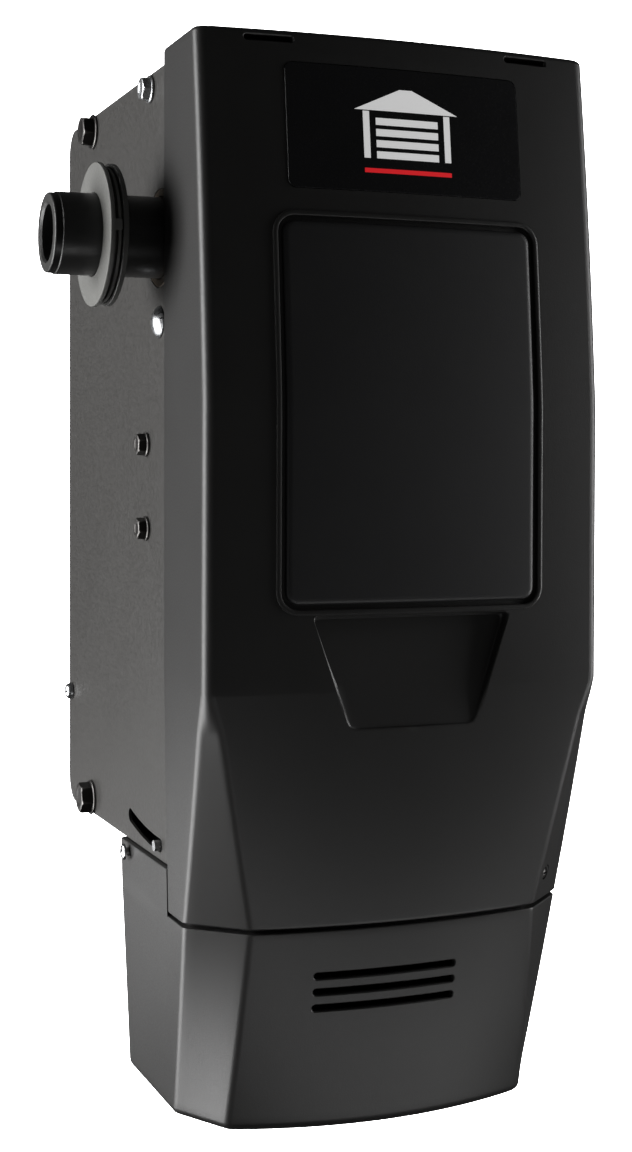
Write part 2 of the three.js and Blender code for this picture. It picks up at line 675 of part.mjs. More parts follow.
/** Single-start worm about Z, cut to length, on its through shaft. */
function wormShaft() {
  const pressure = Math.tan(THREE.MathUtils.degToRad(20));
  const pitch = Math.PI * module;
  const tip = wormRadius + module;
  const root = wormRadius - 1.25 * module;
  const halfTip = toothWidth / 2 - module * pressure;
  const halfRoot = toothWidth / 2 + 1.25 * module * pressure;
  const turns = Math.ceil(wormLength / pitch) + 3;
  const around = 18;
  const profile = [[-halfRoot, root], [-halfTip, tip], [halfTip, tip], [halfRoot, root]];
  const column = [];
  for (let turn = 0; turn < turns; turn++) {
    for (const [along, radius] of profile) {
      column.push([(turn - turns / 2 + 0.5) * pitch + along, radius]);
    }
  }
  // Each column of points is one pitch higher after a whole turn, so it joins itself
  // shifted by one profile.
  const positions = [];
  for (let j = 0; j < around; j++) {
    const angle = 2 * Math.PI * j / around;
    for (const [along, radius] of column) {
      const z = along + pitch * j / around;
      positions.push(radius * Math.sin(angle), -radius * Math.cos(angle), z);
    }
  }
  const rows = column.length;
  const shift = profile.length;
  const at = (j, i) => (j === around ? i + shift : j * rows + i);
  const index = [];
  for (let j = 0; j < around; j++) {
    for (let i = 0; i + 1 < rows; i++) {
      if (j === around - 1 && i + 1 + shift >= rows) continue;
      index.push(at(j, i), at(j + 1, i), at(j + 1, i + 1));
      index.push(at(j, i), at(j + 1, i + 1), at(j, i + 1));
    }
  }
  const bottomEdge = [];
  for (let i = shift; i > 0; i--) bottomEdge.push(i);
  for (let j = 0; j < around; j++) bottomEdge.push(at(j, 0));
  const topEdgeLoop = [];
  for (let j = 0; j < around; j++) topEdgeLoop.push(at(j, rows - 1));
  for (let i = 2; i <= shift; i++) topEdgeLoop.push(at(around - 1, rows - i));
  topEdgeLoop.push(at(around - 1, rows - 1 - shift));
  const low = positions.length / 3;
  positions.push(0, 0, column[0][0] - pitch, 0, 0, column[rows - 1][0] + 2 * pitch);
  bottomEdge.forEach((a, i) => {
    index.push(low, bottomEdge[(i + 1) % bottomEdge.length], a);
  });
  topEdgeLoop.forEach((a, i) => {
    index.push(low + 1, a, topEdgeLoop[(i + 1) % topEdgeLoop.length]);
  });
  const geometry = new THREE.BufferGeometry();
  geometry.setAttribute('position', new THREE.Float32BufferAttribute(positions, 3));
  geometry.setIndex(index);
  const blank = turnZ([
    [0, -wormLength / 2], [root, -wormLength / 2], [tip + 1, -wormLength / 2 + tip + 1 - root],
    [tip + 1, wormLength / 2 - tip - 1 + root], [root, wormLength / 2], [0, wormLength / 2],
  ], 24);
  // A gap of the thread faces the wheel's tooth at Z = 0.
  const thread = solidOf(geometry).translate(0, 0, pitch / 2 * ((turns + 1) % 2 + 1));
  const shaft = rodZ(motorTop - 12, wormLength / 2 + 16, 0, 0, shaftRadius);
  return thread.intersect(blank).add(shaft);
}

/** Slotted disc on the worm shaft's top that the control counts. */
function encoderDisc() {
  let disc = turnZ([[shaftRadius + gap, 0], [16, 0], [16, 1.2], [shaftRadius + gap, 1.2],
    [shaftRadius + gap, 0]], 24);
  for (let i = 0; i < 6; i++) {
    disc = disc.subtract(box(11, 18, -1.5, 1.5, -1, 3).rotate([0, 0, 60 * i]));
  }
  return disc;
}

// ---- Sleeve, collar and clutch -------------------------------------------------------

const keyWidth = 5;
const keyDepth = 2;
const collarLeft = -halfWidth - collarOffset;
const collarRight = collarLeft + collarDiscWidth + collarNeckWidth + collarFlangeWidth;
const ribLeft = collarLeft + 1;
const ribRight = collarRight - 1;

/** Hollow steel sleeve with a stepped end, a groove for the collar and two keyways. */
function driveSleeve() {
  const left = -halfWidth - sleeveReachLeft;
  const right = halfWidth + sleeveReachRight;
  const bore = sleeveBore / 2;
  const neckRadius = sleeveRadius - 0.5;
  const grooveFloor = sleeveRadius - collarRib - gap;
  let sleeve = turnX([
    [left, bore + 1], [left, neckRadius - 1], [left + 1, neckRadius],
    [left + sleeveNeck, neckRadius], [left + sleeveNeck + 0.5, sleeveRadius],
    [ribLeft - gap, sleeveRadius], [ribLeft - gap, grooveFloor],
    [ribRight + gap, grooveFloor], [ribRight + gap, sleeveRadius],
    [right - 1, sleeveRadius], [right, sleeveRadius - 1], [right, bore], [left + 1, bore],
    [left, bore + 1],
  ]);
  for (const side of [-1, 1]) {
    const y = [side * (sleeveRadius - keyDepth), side * (sleeveRadius + 2)].sort((a, b) => a - b);
    const x0 = dogRight - dogLength - dogTravel - 2;
    sleeve = sleeve.subtract(box(x0, dogRight, y[0], y[1], -keyWidth / 2, keyWidth / 2));
  }
  return sleeve;
}

/** Spool-shaped nylon ring with a small bridge between its two flanges. */
function collarRing() {
  const neckFrom = collarLeft + collarDiscWidth;
  const neckTo = neckFrom + collarNeckWidth;
  const bore = sleeveRadius + gap;
  const neckRadius = collarRadius - 5;
  const rimRadius = collarRadius - collarRimDrop;
  const ribRadius = sleeveRadius - collarRib;
  const spool = turnX([
    [collarLeft, bore], [collarLeft, collarRadius - 0.7], [collarLeft + 0.7, collarRadius],
    [neckFrom - 0.4, collarRadius], [neckFrom, collarRadius - 0.4],
    [neckFrom, neckRadius], [neckTo, neckRadius],
    [neckTo, rimRadius - 0.4], [neckTo + 0.4, rimRadius],
    [collarRight, rimRadius], [collarRight, bore],
    [ribRight, bore], [ribRight, ribRadius], [ribLeft, ribRadius], [ribLeft, bore],
    [collarLeft, bore],
  ], 32);
  const bridge = box(neckFrom - 1, collarRight + 0.2, -rimRadius - 0.6, -neckRadius + 1, -1.5, 3.5);
  return spool.add(bridge);
}

/** Dark rubber washer behind the collar, stretched over the sleeve. */
function collarWasher() {
  const x = collarRight + 2 * gap;
  return tubeX(x, x + collarWasherWidth, sleeveRadius + gap, collarRadius - 0.5, 32);
}

/** Ring that keeps the worm wheel in place along the sleeve. */
function wheelRetainer() {
  const x = wheelX + wheelWidth / 2 + hubRight + gap;
  return tubeX(x, x + 4, sleeveRadius + gap, sleeveRadius + 5);
}

/** Sliding ring that keys the wheel's hub to the sleeve, grooved for the fork. */
function clutchDog() {
  const left = dogRight - dogLength;
  const bore = sleeveRadius + gap;
  let dog = turnX([
    [left, bore], [left, dogRadius], [left + 6, dogRadius], [left + 6, dogGrooveRadius],
    [left + 13, dogGrooveRadius], [left + 13, dogRadius], [dogRight, dogRadius],
    [dogRight, bore], [left, bore],
  ]);
  for (const angle of [0, 120, 240]) {
    const tooth = dogBlock(dogRight - 1, dogRight + gap + dogTooth - 0.4, 0);
    dog = dog.add(tooth.rotate([angle, 0, 0]));
  }
  for (const side of [-1, 1]) {
    const y = [side * (sleeveRadius - keyDepth + gap), side * (bore + 1)].sort((a, b) => a - b);
    dog = dog.add(box(left, dogRight - 1, y[0], y[1], -keyWidth / 2 + gap, keyWidth / 2 - gap));
  }
  return dog;
}

const studEnd = dogRight - dogLength + 22;
const leverX = -insideX + 4;        // outer face of the release lever
const leverHubLength = 8;
const forkX = dogRight - dogLength + 7.5;
const forkThickness = 4;

/** Shouldered stud with a domed head outside the left plate. */
function releaseStud() {
  const outer = -plateX;
  return turnX([
    [outer - 4, 0], [outer - 3.4, 3.8], [outer - 1.6, 6.6], [outer - gap, 7.5],
    [outer - gap, studRadius], [-insideX, studRadius], [-insideX, 8],
    [-insideX + 2, 8], [-insideX + 2, studRadius], [studEnd, studRadius], [studEnd, 0],
  ], 24);
}

/** Hanging lever with its hub on the stud and a round tab through the plate's slot. */
function releaseLever() {
  const hub = tubeX(leverX, leverX + leverHubLength, studRadius + gap, 9, 24);
  const arm = polygon([
    [-7, -6], [-5.5, -leverReach - 4], [5.5, -leverReach - 4], [7, -6],
  ]);
  const blade = extrudeX(arm, leverX, leverX + 2)
    .subtract(rodX(leverX - 1, leverX + 3, 0, 0, 8.5));
  const tab = rodX(-halfWidth + 1, leverX + 1, 0, -leverReach, tabRadius, 16);
  return hub.add(blade).add(tab);
}

/** Fork that rides in the dog's groove and slides on the stud. */
function shiftFork() {
  const inner = dogGrooveRadius + 0.8;
  const outer = inner + 7;
  const yoke = new THREE.Shape();
  yoke.absarc(0, 0, outer, Math.PI, 2 * Math.PI);
  yoke.lineTo(inner, 0);
  yoke.absarc(0, 0, inner, 2 * Math.PI, Math.PI, true);
  const blade = extrudeX(yoke, 0, forkThickness).translate(0, 0, studDrop);
  const web = box(0, forkThickness, -8, 8, 0, studDrop - inner - 1);
  const hub = turnX([[-26, 0], [-26, 9], [forkThickness, 9], [forkThickness, 0]], 24);
  return hub.add(web).add(blade).subtract(rodX(-30, 10, 0, 0, studRadius + gap, 24));
}

// ---- Motor and its supports ----------------------------------------------------------

const bossRadius = 13;

/** Motor can with a boss through the shelf and a blind hole for the shaft. */
function motorCan() {
  const hole = shaftRadius + gap;
  return turnZ([
    [0, motorTop - 20], [hole, motorTop - 20], [hole, motorTop + 4], [bossRadius, motorTop + 4],
    [bossRadius, motorTop], [motorRadius - 3, motorTop], [motorRadius, motorTop - 3],
    [motorRadius, motorTop - motorLength], [0, motorTop - motorLength],
  ]);
}

function motorEndCap() {
  const top = motorTop - motorLength - gap;
  return turnZ([
    [0, top], [motorRadius + 1, top], [motorRadius + 1, top - 4],
    [motorRadius - 4, top - motorCap], [0, top - motorCap],
  ]);
}

/** Shelf across the chassis with a flange down each side plate, clear of the lever's swing. */
function motorShelf() {
  const z0 = motorTop + gap;
  const z1 = z0 + 2;
  const [y0, y1] = [wormY - motorRadius - 6, wormY + motorRadius + 6];
  let shelf = box(-insideX, insideX, y0, y1, z0, z1);
  for (const side of [-1, 1]) {
    const x = [side * insideX, side * (insideX - 2)].sort((a, b) => a - b);
    shelf = shelf.add(box(x[0], x[1], wormY - 42, wormY - 26, motorTop - 84, z0 + 1));
  }
  for (const [name, y, z, , , shank] of hexBolts) {
    if (name.startsWith('bracket')) {
      shelf = shelf.subtract(rodX(-plateX, plateX, y, z, shank + gap, 12));
    }
  }
  const leverSweep = box(-insideX - 1, leverX + 4, y0 - 1, sleeveY + 11.9, z0 - 1, z1 + 1);
  return shelf
    .subtract(leverSweep)
    .subtract(rodZ(z0 - 1, z1 + 1, wheelX, wormY, bossRadius + gap, 24));
}

/** Cross-piece that carries the top of the worm shaft. */
function wormSupport() {
  const z0 = wormLength / 2 + 8;
  const z1 = z0 + 2.5;
  let support = box(-insideX, insideX, wormY - 12, wormY + 16, z0, z1);
  for (const side of [-1, 1]) {
    const x = [side * insideX, side * (insideX - 2)].sort((a, b) => a - b);
    support = support.add(box(x[0], x[1], wormY - 12, wormY + 16, z0, z0 + 26));
  }
  return support
    .add(rodZ(z0 - 1, z1 + 2, wheelX, wormY, 10, 24))
    .subtract(rodZ(z0 - 4, z1 + 4, wheelX, wormY, shaftRadius + gap, 20));
}

// ---- Electrics -----------------------------------------------------------------------

const boardHalf = halfWidth - 25;
const boardZ = lowerBottom + 14;
const boardFront = frontY + 46;

/** Control board lying above the lower cover's floor, with its larger components. */
function circuitBoard() {
  const board = box(-boardHalf, boardHalf, boardFront, -142, boardZ, boardZ + 1.6);
  const relays = [-55, -30].map((x) => box(x, x + 20, -190, -172, boardZ + 1, boardZ + 17));
  const switches = buttonX.map((x) => box(x - 3, x + 3, buttonY - 3, buttonY + 3, boardZ - 4, boardZ + 1));
  const heatSink = box(10, 60, -200, -190, boardZ + 1, boardZ + 24);
  const capacitor = rodZ(boardZ + 1, boardZ + 30, 50, -160, 8, 16);
  return [...relays, ...switches, heatSink, capacitor].reduce((all, one) => all.add(one), board);
}

/** Screw terminals for the wall control and the sensors. */
function terminalBlock() {
  const z0 = boardZ + 1.6 + gap;
  let block = box(-62, -14, -152, -142, z0, z0 + 10);
  for (let i = 0; i < 6; i++) {
    block = block.subtract(rodZ(z0 + 6, z0 + 11, -58 + 8 * i, -147, 2.4, 12));
  }
  return block;
}

/** Laminated transformer standing on the chassis's bottom sheet. */
function transformer() {
  const z0 = plateBottom + plate + gap;
  const core = box(14, 64, -112, -60, z0, z0 + 44);
  const coil = box(24, 54, -122, -50, z0 + 8, z0 + 36);
  return core.add(coil);
}

/** Bush that lines the cord inlet in the lower cover's back. */
function inletBush() {
  const inner = 4;
  const bush = turnX([
    [-coverWall - 4, inner], [-coverWall - 4, inletRadius], [gap, inletRadius],
    [gap, inletRadius + 3], [3, inletRadius + 2], [3, inner], [-coverWall - 4, inner],
  ], 24);
  return bush.rotate([0, 0, 90]).translate(inletX, -lowerRearDepth, inletZ);
}

/** Push button with a flange inside the cover, pressed upwards. */
function programButton() {
  return turnZ([
    [0, 0.2], [buttonRadius - 0.6, 0.2], [buttonRadius, 0.8], [buttonRadius, coverWall + gap],
    [buttonRadius + 1.4, coverWall + gap], [buttonRadius + 1.4, coverWall + gap + 1.4],
    [2, coverWall + gap + 1.4], [2, 8], [0, 8],
  ], 20);
}

function statusLens() {
  return turnZ([
    [0, 0.1], [1.6, 0.4], [ledRadius, 1.4], [ledRadius, coverWall + gap],
    [ledRadius + 1, coverWall + gap], [ledRadius + 1, 7], [0, 7],
  ], 16);
}

// ---- Finishes ------------------------------------------------------------------------

function finish(color, roughness, metalness) {
  return new THREE.MeshStandardMaterial({ color, roughness, metalness });
}

const coverPlastic = finish(0x2b2b2c, 0.45, 0);
const panelPlastic = finish(0x1b1b1d, 0.4, 0);
const labelPlastic = finish(0x0d0d0e, 0.3, 0);
const paintedSteel = finish(0x4a4845, 0.55, 0.4);
const blackSteel = finish(0x151515, 0.4, 0.7);
const zinc = finish(0xb9bcc0, 0.3, 0.9);
const darkBolt = finish(0x2e2d2c, 0.45, 0.8);
const whiteNylon = finish(0xd9d9d6, 0.5, 0);
const blackRubber = finish(0x111111, 0.8, 0);
const bronze = finish(0x9a7a45, 0.4, 0.8);
const steel = finish(0x9a9c9e, 0.35, 0.9);
const boardGreen = finish(0x1f5a35, 0.5, 0.1);
const terminalGrey = finish(0x8c9094, 0.6, 0);
const buttonYellow = finish(0xd8b43a, 0.5, 0);
const buttonGrey = finish(0x6d7074, 0.5, 0);
const amber = finish(0xe08a2a, 0.2, 0);

// ---- Assembly ------------------------------------------------------------------------

const opener = new THREE.Group();

/** Adds a named piece to a group, at a place in that group. */
function put(group, name, solid, material, x = 0, y = 0, z = 0) {
  const mesh = new THREE.Mesh(geometryOf(solid), material);
  mesh.name = name;
  mesh.position.set(x, y, z);
  group.add(mesh);
  return mesh;
}

function addHousing() {
  put(opener, 'main_cover', mainCover(), coverPlastic);
  put(opener, 'front_panel', frontPanel(), panelPlastic);
  put(opener, 'badge_plate', badgePlate(), labelPlastic);
  put(opener, 'lower_cover', lowerCover(), coverPlastic);
  put(opener, 'chassis_left_plate', sidePlate(-1), paintedSteel);
  put(opener, 'chassis_right_plate', sidePlate(1), paintedSteel);
  put(opener, 'chassis_back_plate', backPlate(), paintedSteel);
  put(opener, 'chassis_top_plate', topPlate(), paintedSteel);
  put(opener, 'chassis_bottom_plate', bottomPlate(), paintedSteel);
}

/** The same fasteners on both side plates, the right-hand ones turned about. */
function addSideFasteners() {
  for (const [side, word] of [[-1, 'left'], [1, 'right']]) {
    const turn = side < 0 ? Math.PI : 0;
    for (const [name, y, z, across, head, shank] of hexBolts) {
      const length = name.startsWith('bracket') ? plate + gap + 2 + gap : plate + gap + 2.5;
      const finishOf = name === 'upper_front_bolt' ? zinc : darkBolt;
      const bolt = hexBolt(across, head, shank, length);
      const mesh = put(opener, `${word}_${name}`, bolt, finishOf, side * (plateX + gap), y, z);
      mesh.rotation.z = turn;
    }
    const back = domeScrew(rearScrew.head, rearScrew.proud, rearScrew.shank, plate + 2 * gap + plate);
    const rear = put(
      opener, `${word}_rear_screw`, back, zinc, side * (plateX + gap), rearScrew.y, rearScrew.z,
    );
    rear.rotation.z = turn;
    const cover = domeScrew(4, 2, coverScrewRadius, plateInset + plate + gap + plate + 1);
    const low = put(
      opener, `${word}_cover_screw`, cover, zinc, side * (halfWidth + gap), coverScrewY, coverScrewZ,
    );
    low.rotation.z = turn;
  }
  const front = put(opener, 'front_screw', domeScrew(2.8, 2, 1.8, 9), darkBolt);
  front.position.copy(frontScrewAt.at).addScaledVector(frontScrewAt.out, -2);
  front.quaternion.setFromUnitVectors(new THREE.Vector3(1, 0, 0), frontScrewAt.out);
}

function addDrive() {
  const axis = new THREE.Group();
  axis.position.set(0, sleeveY, 0);
  opener.add(axis);
  put(axis, 'left_bearing', sleeveBearing(), bronze, -plateX);
  put(axis, 'right_bearing', sleeveBearing(), bronze, plateX).rotation.z = Math.PI;
  put(axis, 'drive_sleeve', driveSleeve(), blackSteel);
  put(axis, 'collar_ring', collarRing(), whiteNylon);
  put(axis, 'collar_washer', collarWasher(), blackRubber);
  put(axis, 'worm_wheel', wormWheel(), bronze, wheelX);
  put(axis, 'wheel_retainer', wheelRetainer(), steel);
  put(axis, 'clutch_dog', clutchDog(), steel);

  const stud = new THREE.Group();
  stud.position.set(0, sleeveY, studZ);
  opener.add(stud);
  put(stud, 'release_stud', releaseStud(), zinc);
  put(stud, 'release_lever', releaseLever(), zinc);
  put(stud, 'shift_fork', shiftFork(), steel, forkX);

  const worm = new THREE.Group();
  worm.position.set(wheelX, wormY, 0);
  opener.add(worm);
  put(worm, 'worm_shaft', wormShaft(), steel);
  put(worm, 'encoder_disc', encoderDisc(), blackRubber, 0, 0, wormLength / 2 + 13);
  put(worm, 'motor_can', motorCan(), steel);
  put(worm, 'motor_end_cap', motorEndCap(), blackSteel);
  put(opener, 'motor_shelf', motorShelf(), zinc);
  put(opener, 'worm_support', wormSupport(), zinc);
}

function addElectrics() {
  put(opener, 'circuit_board', circuitBoard(), boardGreen);
  put(opener, 'terminal_block', terminalBlock(), terminalGrey);
  put(opener, 'transformer', transformer(), steel);
  put(opener, 'inlet_bush', inletBush(), blackRubber);
  buttonX.forEach((x, i) => {
    const material = i === 0 ? buttonYellow : buttonGrey;
    put(opener, `program_button_${i + 1}`, programButton(), material, x, buttonY, lowerBottom);
  });
  put(opener, 'status_lens', statusLens(), amber, ledX, buttonY, lowerBottom);
}

addHousing();
addSideFasteners();
addDrive();
addElectrics();

export default opener;
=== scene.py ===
import bmesh
import bpy
import math
from mathutils import Matrix, Vector


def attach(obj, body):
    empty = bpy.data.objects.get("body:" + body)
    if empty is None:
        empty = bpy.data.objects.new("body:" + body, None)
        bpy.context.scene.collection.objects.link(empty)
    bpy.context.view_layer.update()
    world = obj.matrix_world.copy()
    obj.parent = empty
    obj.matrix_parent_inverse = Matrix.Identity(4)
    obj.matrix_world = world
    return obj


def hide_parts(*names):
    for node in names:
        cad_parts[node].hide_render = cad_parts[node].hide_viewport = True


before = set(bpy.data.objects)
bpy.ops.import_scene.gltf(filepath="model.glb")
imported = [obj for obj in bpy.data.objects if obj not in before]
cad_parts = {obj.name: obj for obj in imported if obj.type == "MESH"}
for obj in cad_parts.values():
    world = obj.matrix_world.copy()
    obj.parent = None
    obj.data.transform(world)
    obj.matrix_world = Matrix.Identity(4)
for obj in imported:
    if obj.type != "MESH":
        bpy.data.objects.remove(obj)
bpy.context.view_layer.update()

# ---- Camera --------------------------------------------------------------------------
# A level camera to the left of the opener and a little below its middle, about a metre
# away, so that it sees the front, the left side and the sleeve's collar.

eye = bpy.data.objects.new("camera", bpy.data.cameras.new("camera"))
eye.location = (-0.3288, -0.9860, -0.1105)
eye.rotation_euler = (math.radians(90), 0, math.radians(-21.316))
eye.data.lens = 56.54
eye.data.sensor_width = 36
eye.data.shift_y = -0.0868
bpy.context.scene.collection.objects.link(eye)
bpy.context.scene.camera = eye

# ---- Main cover ----------------------------------------------------------------------
# One charcoal ABS moulding over the front and sides, 3 mm thick, open at the back and
# the bottom. It slides over the chassis and is held by one screw in its right facet.
# Sizes here and below are in millimetres; solid() turns them into metres.

fine = 2
half_width = 95
cover_top = 84
seam_z = -308.5
cover_wall = 3
cover_rear = -196.6
front_y = -264
bulge_z = -78.5
apex_z = -203
nose_drop = 93.5
panel_half = 64
panel_top = 4.5
panel_bottom = -170.5
panel_corner = 10
bead_width = 2.4
scoop_top = panel_bottom - 1
scoop_bottom = -220.5
label_half = 56.5
label_bottom = 14
label_top = 70
label_corner = 4


def solid(name, points, faces):
    """A closed piece, with its doubled points joined and its faces turned outwards."""
    mesh = bpy.data.meshes.new(name)
    mesh.from_pydata([Vector(p) * 0.001 for p in points], [], faces)
    work = bmesh.new()
    work.from_mesh(mesh)
    bmesh.ops.remove_doubles(work, verts=work.verts, dist=1e-6)
    loose = [v for v in work.verts if not v.link_faces]
    bmesh.ops.delete(work, geom=loose, context="VERTS")
    bmesh.ops.recalc_face_normals(work, faces=work.faces)
    work.to_mesh(mesh)
    work.free()
    piece = bpy.data.objects.new(name, mesh)
    bpy.context.scene.collection.objects.link(piece)
    return piece


def stack(name, rings, joined=False):
    """Skin over equal rings of points, closed by flat ends or joined end to end."""
    count = len(rings[0])
    total = count * len(rings)
    faces = []
    for level in range(len(rings) if joined else len(rings) - 1):
        for i in range(count):
            a = level * count + i
            b = level * count + (i + 1) % count
            faces.append((a, b, (b + count) % total, (a + count) % total))
    if not joined:
        faces.append(tuple(range(count)))
        faces.append(tuple(range(total - count, total)))
    return solid(name, [point for ring in rings for point in ring], faces)


def turned(name, profile, steps=64):
    """Solid turned about X; each profile point is a place along X and a radius."""
    rings = []
    for i in range(steps):
        angle = 2 * math.pi * i / steps
        rings.append([(x, r * math.cos(angle), r * math.sin(angle)) for x, r in profile])
    return stack(name, rings, joined=True)


def block(name, low, high):
    """A plain cutting block between two corners."""
    xs, ys, zs = zip(low, high)
    rings = [[(xs[0], ys[0], z), (xs[1], ys[0], z), (xs[1], ys[1], z), (xs[0], ys[1], z)] for z in zs]
    return stack(name, rings)


def moved(piece, place, turn=None):
    """Sets a piece down at a place, turned first."""
    matrix = Matrix.Translation(Vector(place) * 0.001)
    if turn is not None:
        matrix = matrix @ turn.to_4x4()
    piece.data.transform(matrix)
    return piece


def joined_with(piece, tool, how):
    """Cuts, joins or keeps what a second solid marks out, and uses that solid up."""
    step = piece.modifiers.new("step", "BOOLEAN")
    step.operation = how
    step.solver = "EXACT"
    step.object = tool
    shown = piece.evaluated_get(bpy.context.evaluated_depsgraph_get())
    mesh = bpy.data.meshes.new_from_object(shown)
    piece.modifiers.clear()
    piece.data = mesh
    bpy.data.objects.remove(tool)
    return piece


def cut(piece, *tools):
    for tool in tools:
        joined_with(piece, tool, "DIFFERENCE")
    return piece


def add(piece, *tools):
    for tool in tools:
        joined_with(piece, tool, "UNION")
    return piece


def fit(piece, look, body, slot, *nodes, sharp=30):
    """Gives a finished piece its shading, its finish and the body it moves with, and hides the CAD nodes it
    stands for.
    """
    piece.data.shade_smooth()
    piece.data.set_sharp_from_angle(angle=math.radians(sharp))
    even = piece.modifiers.new("even", "WEIGHTED_NORMAL")
    even.keep_sharp = True
    piece.data.materials.clear()
    piece.data.materials.append(look)
    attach(piece, body)
    if nodes:
        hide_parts(*nodes)
    return piece


def finish(name, low, high, rough, grain, depth, metal=0.0, stretch=(1, 1, 1), patch=30, worn=None):
    """A finish: mottled colour, uneven roughness, a fine raised grain and rubbed edges."""
    look = bpy.data.materials.new(name)
    look.use_nodes = True
    nodes = look.node_tree.nodes
    links = look.node_tree.links
    shader = nodes["Principled BSDF"]
    shader.inputs["Metallic"].default_value = metal
    where = nodes.new("ShaderNodeTexCoord")
    scaled = nodes.new("ShaderNodeMapping")
    scaled.inputs["Scale"].default_value = stretch
    links.new(where.outputs["Object"], scaled.inputs["Vector"])
    mottle = nodes.new("ShaderNodeTexNoise")
    mottle.inputs["Scale"].default_value = patch
    mottle.inputs["Detail"].default_value = 5
    links.new(scaled.outputs["Vector"], mottle.inputs["Vector"])
    tint = nodes.new("ShaderNodeValToRGB")
    tint.color_ramp.elements[0].position = 0.3
    tint.color_ramp.elements[0].color = (*low, 1)
    tint.color_ramp.elements[1].position = 0.7
    tint.color_ramp.elements[1].color = (*high, 1)
    links.new(mottle.outputs["Fac"], tint.inputs["Fac"])
    colour = tint.outputs["Color"]
    if worn:
        edges = nodes.new("ShaderNodeNewGeometry")
        rub = nodes.new("ShaderNodeMapRange")
        rub.inputs["From Min"].default_value = 0.52
        rub.inputs["From Max"].default_value = 0.6
        rub.inputs["To Max"].default_value = 0.7
        links.new(edges.outputs["Pointiness"], rub.inputs["Value"])
        mixed = nodes.new("ShaderNodeMixRGB")
        mixed.inputs["Color2"].default_value = (*worn, 1)
        links.new(rub.outputs["Result"], mixed.inputs["Fac"])
        links.new(colour, mixed.inputs["Color1"])
        colour = mixed.outputs["Color"]
    links.new(colour, shader.inputs["Base Color"])
    speck = nodes.new("ShaderNodeTexNoise")
    speck.inputs["Scale"].default_value = grain
    speck.inputs["Detail"].default_value = 3
    links.new(scaled.outputs["Vector"], speck.inputs["Vector"])
    spread = nodes.new("ShaderNodeMapRange")
    spread.inputs["From Min"].default_value = 0.3
    spread.inputs["From Max"].default_value = 0.7
    spread.inputs["To Min"].default_value = rough[0]
    spread.inputs["To Max"].default_value = rough[1]
    links.new(speck.outputs["Fac"], spread.inputs["Value"])
    links.new(spread.outputs["Result"], shader.inputs["Roughness"])
    raised = nodes.new("ShaderNodeBump")
    raised.inputs["Strength"].default_value = 1
    raised.inputs["Distance"].default_value = depth
    links.new(speck.outputs["Fac"], raised.inputs["Height"])
    links.new(raised.outputs["Normal"], shader.inputs["Normal"])
    return look


def front_at(z):
    """The front at a height: centre Y, bow, corner's reach along side and front, draw, flatness."""
    above = max(0, z - bulge_z)
    middle = min(max(0, bulge_z - z), bulge_z - apex_z)
    below = max(0, apex_z - z)
    lean = 0.055 * above + 0.00022 * above ** 2 + 0.011 * middle
    chin = 0.09 * below + 0.00028 * below ** 2
    seam_drop = apex_z - seam_z
    upper = min(1, below / seam_drop)
    lower = max(0, below - seam_drop) / nose_drop
    shape = [top + (seam - top) * upper + (bottom - seam) * lower for top, seam, bottom in (
        (6, 13.5, 20), (5, 16.5, 21.7), (5, 24, 15.8), (0, 2, 6.2))]
    return (front_y + lean + chin, *shape, min(1, upper * 6))


def skin(x, z):
    """Y of the front's outer surface."""
    centre, bow, _, _, draw, _ = front_at(z)
    return centre + bow * (x / (half_width - draw)) ** 2


def bend(a, b, c, steps):
    """Points from a to c, bending towards b."""
    shares = [i / steps for i in range(steps + 1)]
    return [a.lerp(b, t).lerp(b.lerp(c, t), t) for t in shares]


def outline(z, offset, rear, rear_round=1):
    """The body's closed outline at a height, moved outwards by offset."""
    centre, bow, side, front, draw, flat = front_at(z)
    half = half_width + offset - draw

    def on_front(x):
        return Vector((x, centre - offset + bow * (x / half) ** 2))

    start = Vector((half, on_front(half).y + side))
    end = on_front(half - front)
    corner = Vector((half, on_front(half).y)).lerp((start + end) / 2, flat)
    ease = 2.2 * flat + 0.02
    before = start + Vector((0, ease))
    into = start + (corner - start).normalized() * ease
    out = end + (corner - end).normalized() * ease
    past = on_front(end.x - ease)
    rear_side = Vector((half, rear - rear_round))
    path = bend(Vector((half - rear_round, rear)), Vector((half, rear)), rear_side, 3)
    path += [rear_side.lerp(before, i / 5) for i in range(1, 5)]
    path += bend(before, start, into, 4)
    path += bend(into, corner, out, 4 * fine)[1:-1]
    path += bend(out, end, past, 4)
    across = 22 * fine
    right = path + [on_front(past.x * (1 - 2 * i / across)) for i in range(1, across // 2)]
    left = [Vector((-p.x, p.y)) for p in reversed(right)]
    return [(p.x, p.y, z) for p in (*right, on_front(0), *left)]


def evenly(low, high, steps):
    return [low + (high - low) * i / steps for i in range(steps + 1)]


def upper_body(name, offset, rear, bottom):
    """The main cover's body, with rounded top and seam edges."""
    top = cover_top + offset
    levels = [(bottom, 0.6), (bottom + 0.2, 0.22), (bottom + 0.6, 0)]
    levels += [(z, 0) for z in evenly(bottom + 2, apex_z, 30 * fine)]
    levels += [(z, 0) for z in evenly(apex_z, top - 2.5, 22 * fine)[1:]]
    for i in range(1, 7):
        angle = math.radians(15 * i)
        levels.append((top - 2.5 + 2.5 * math.sin(angle), 2.5 * (1 - math.cos(angle))))
    return stack(name, [outline(z, offset - inset, rear) for z, inset in levels])


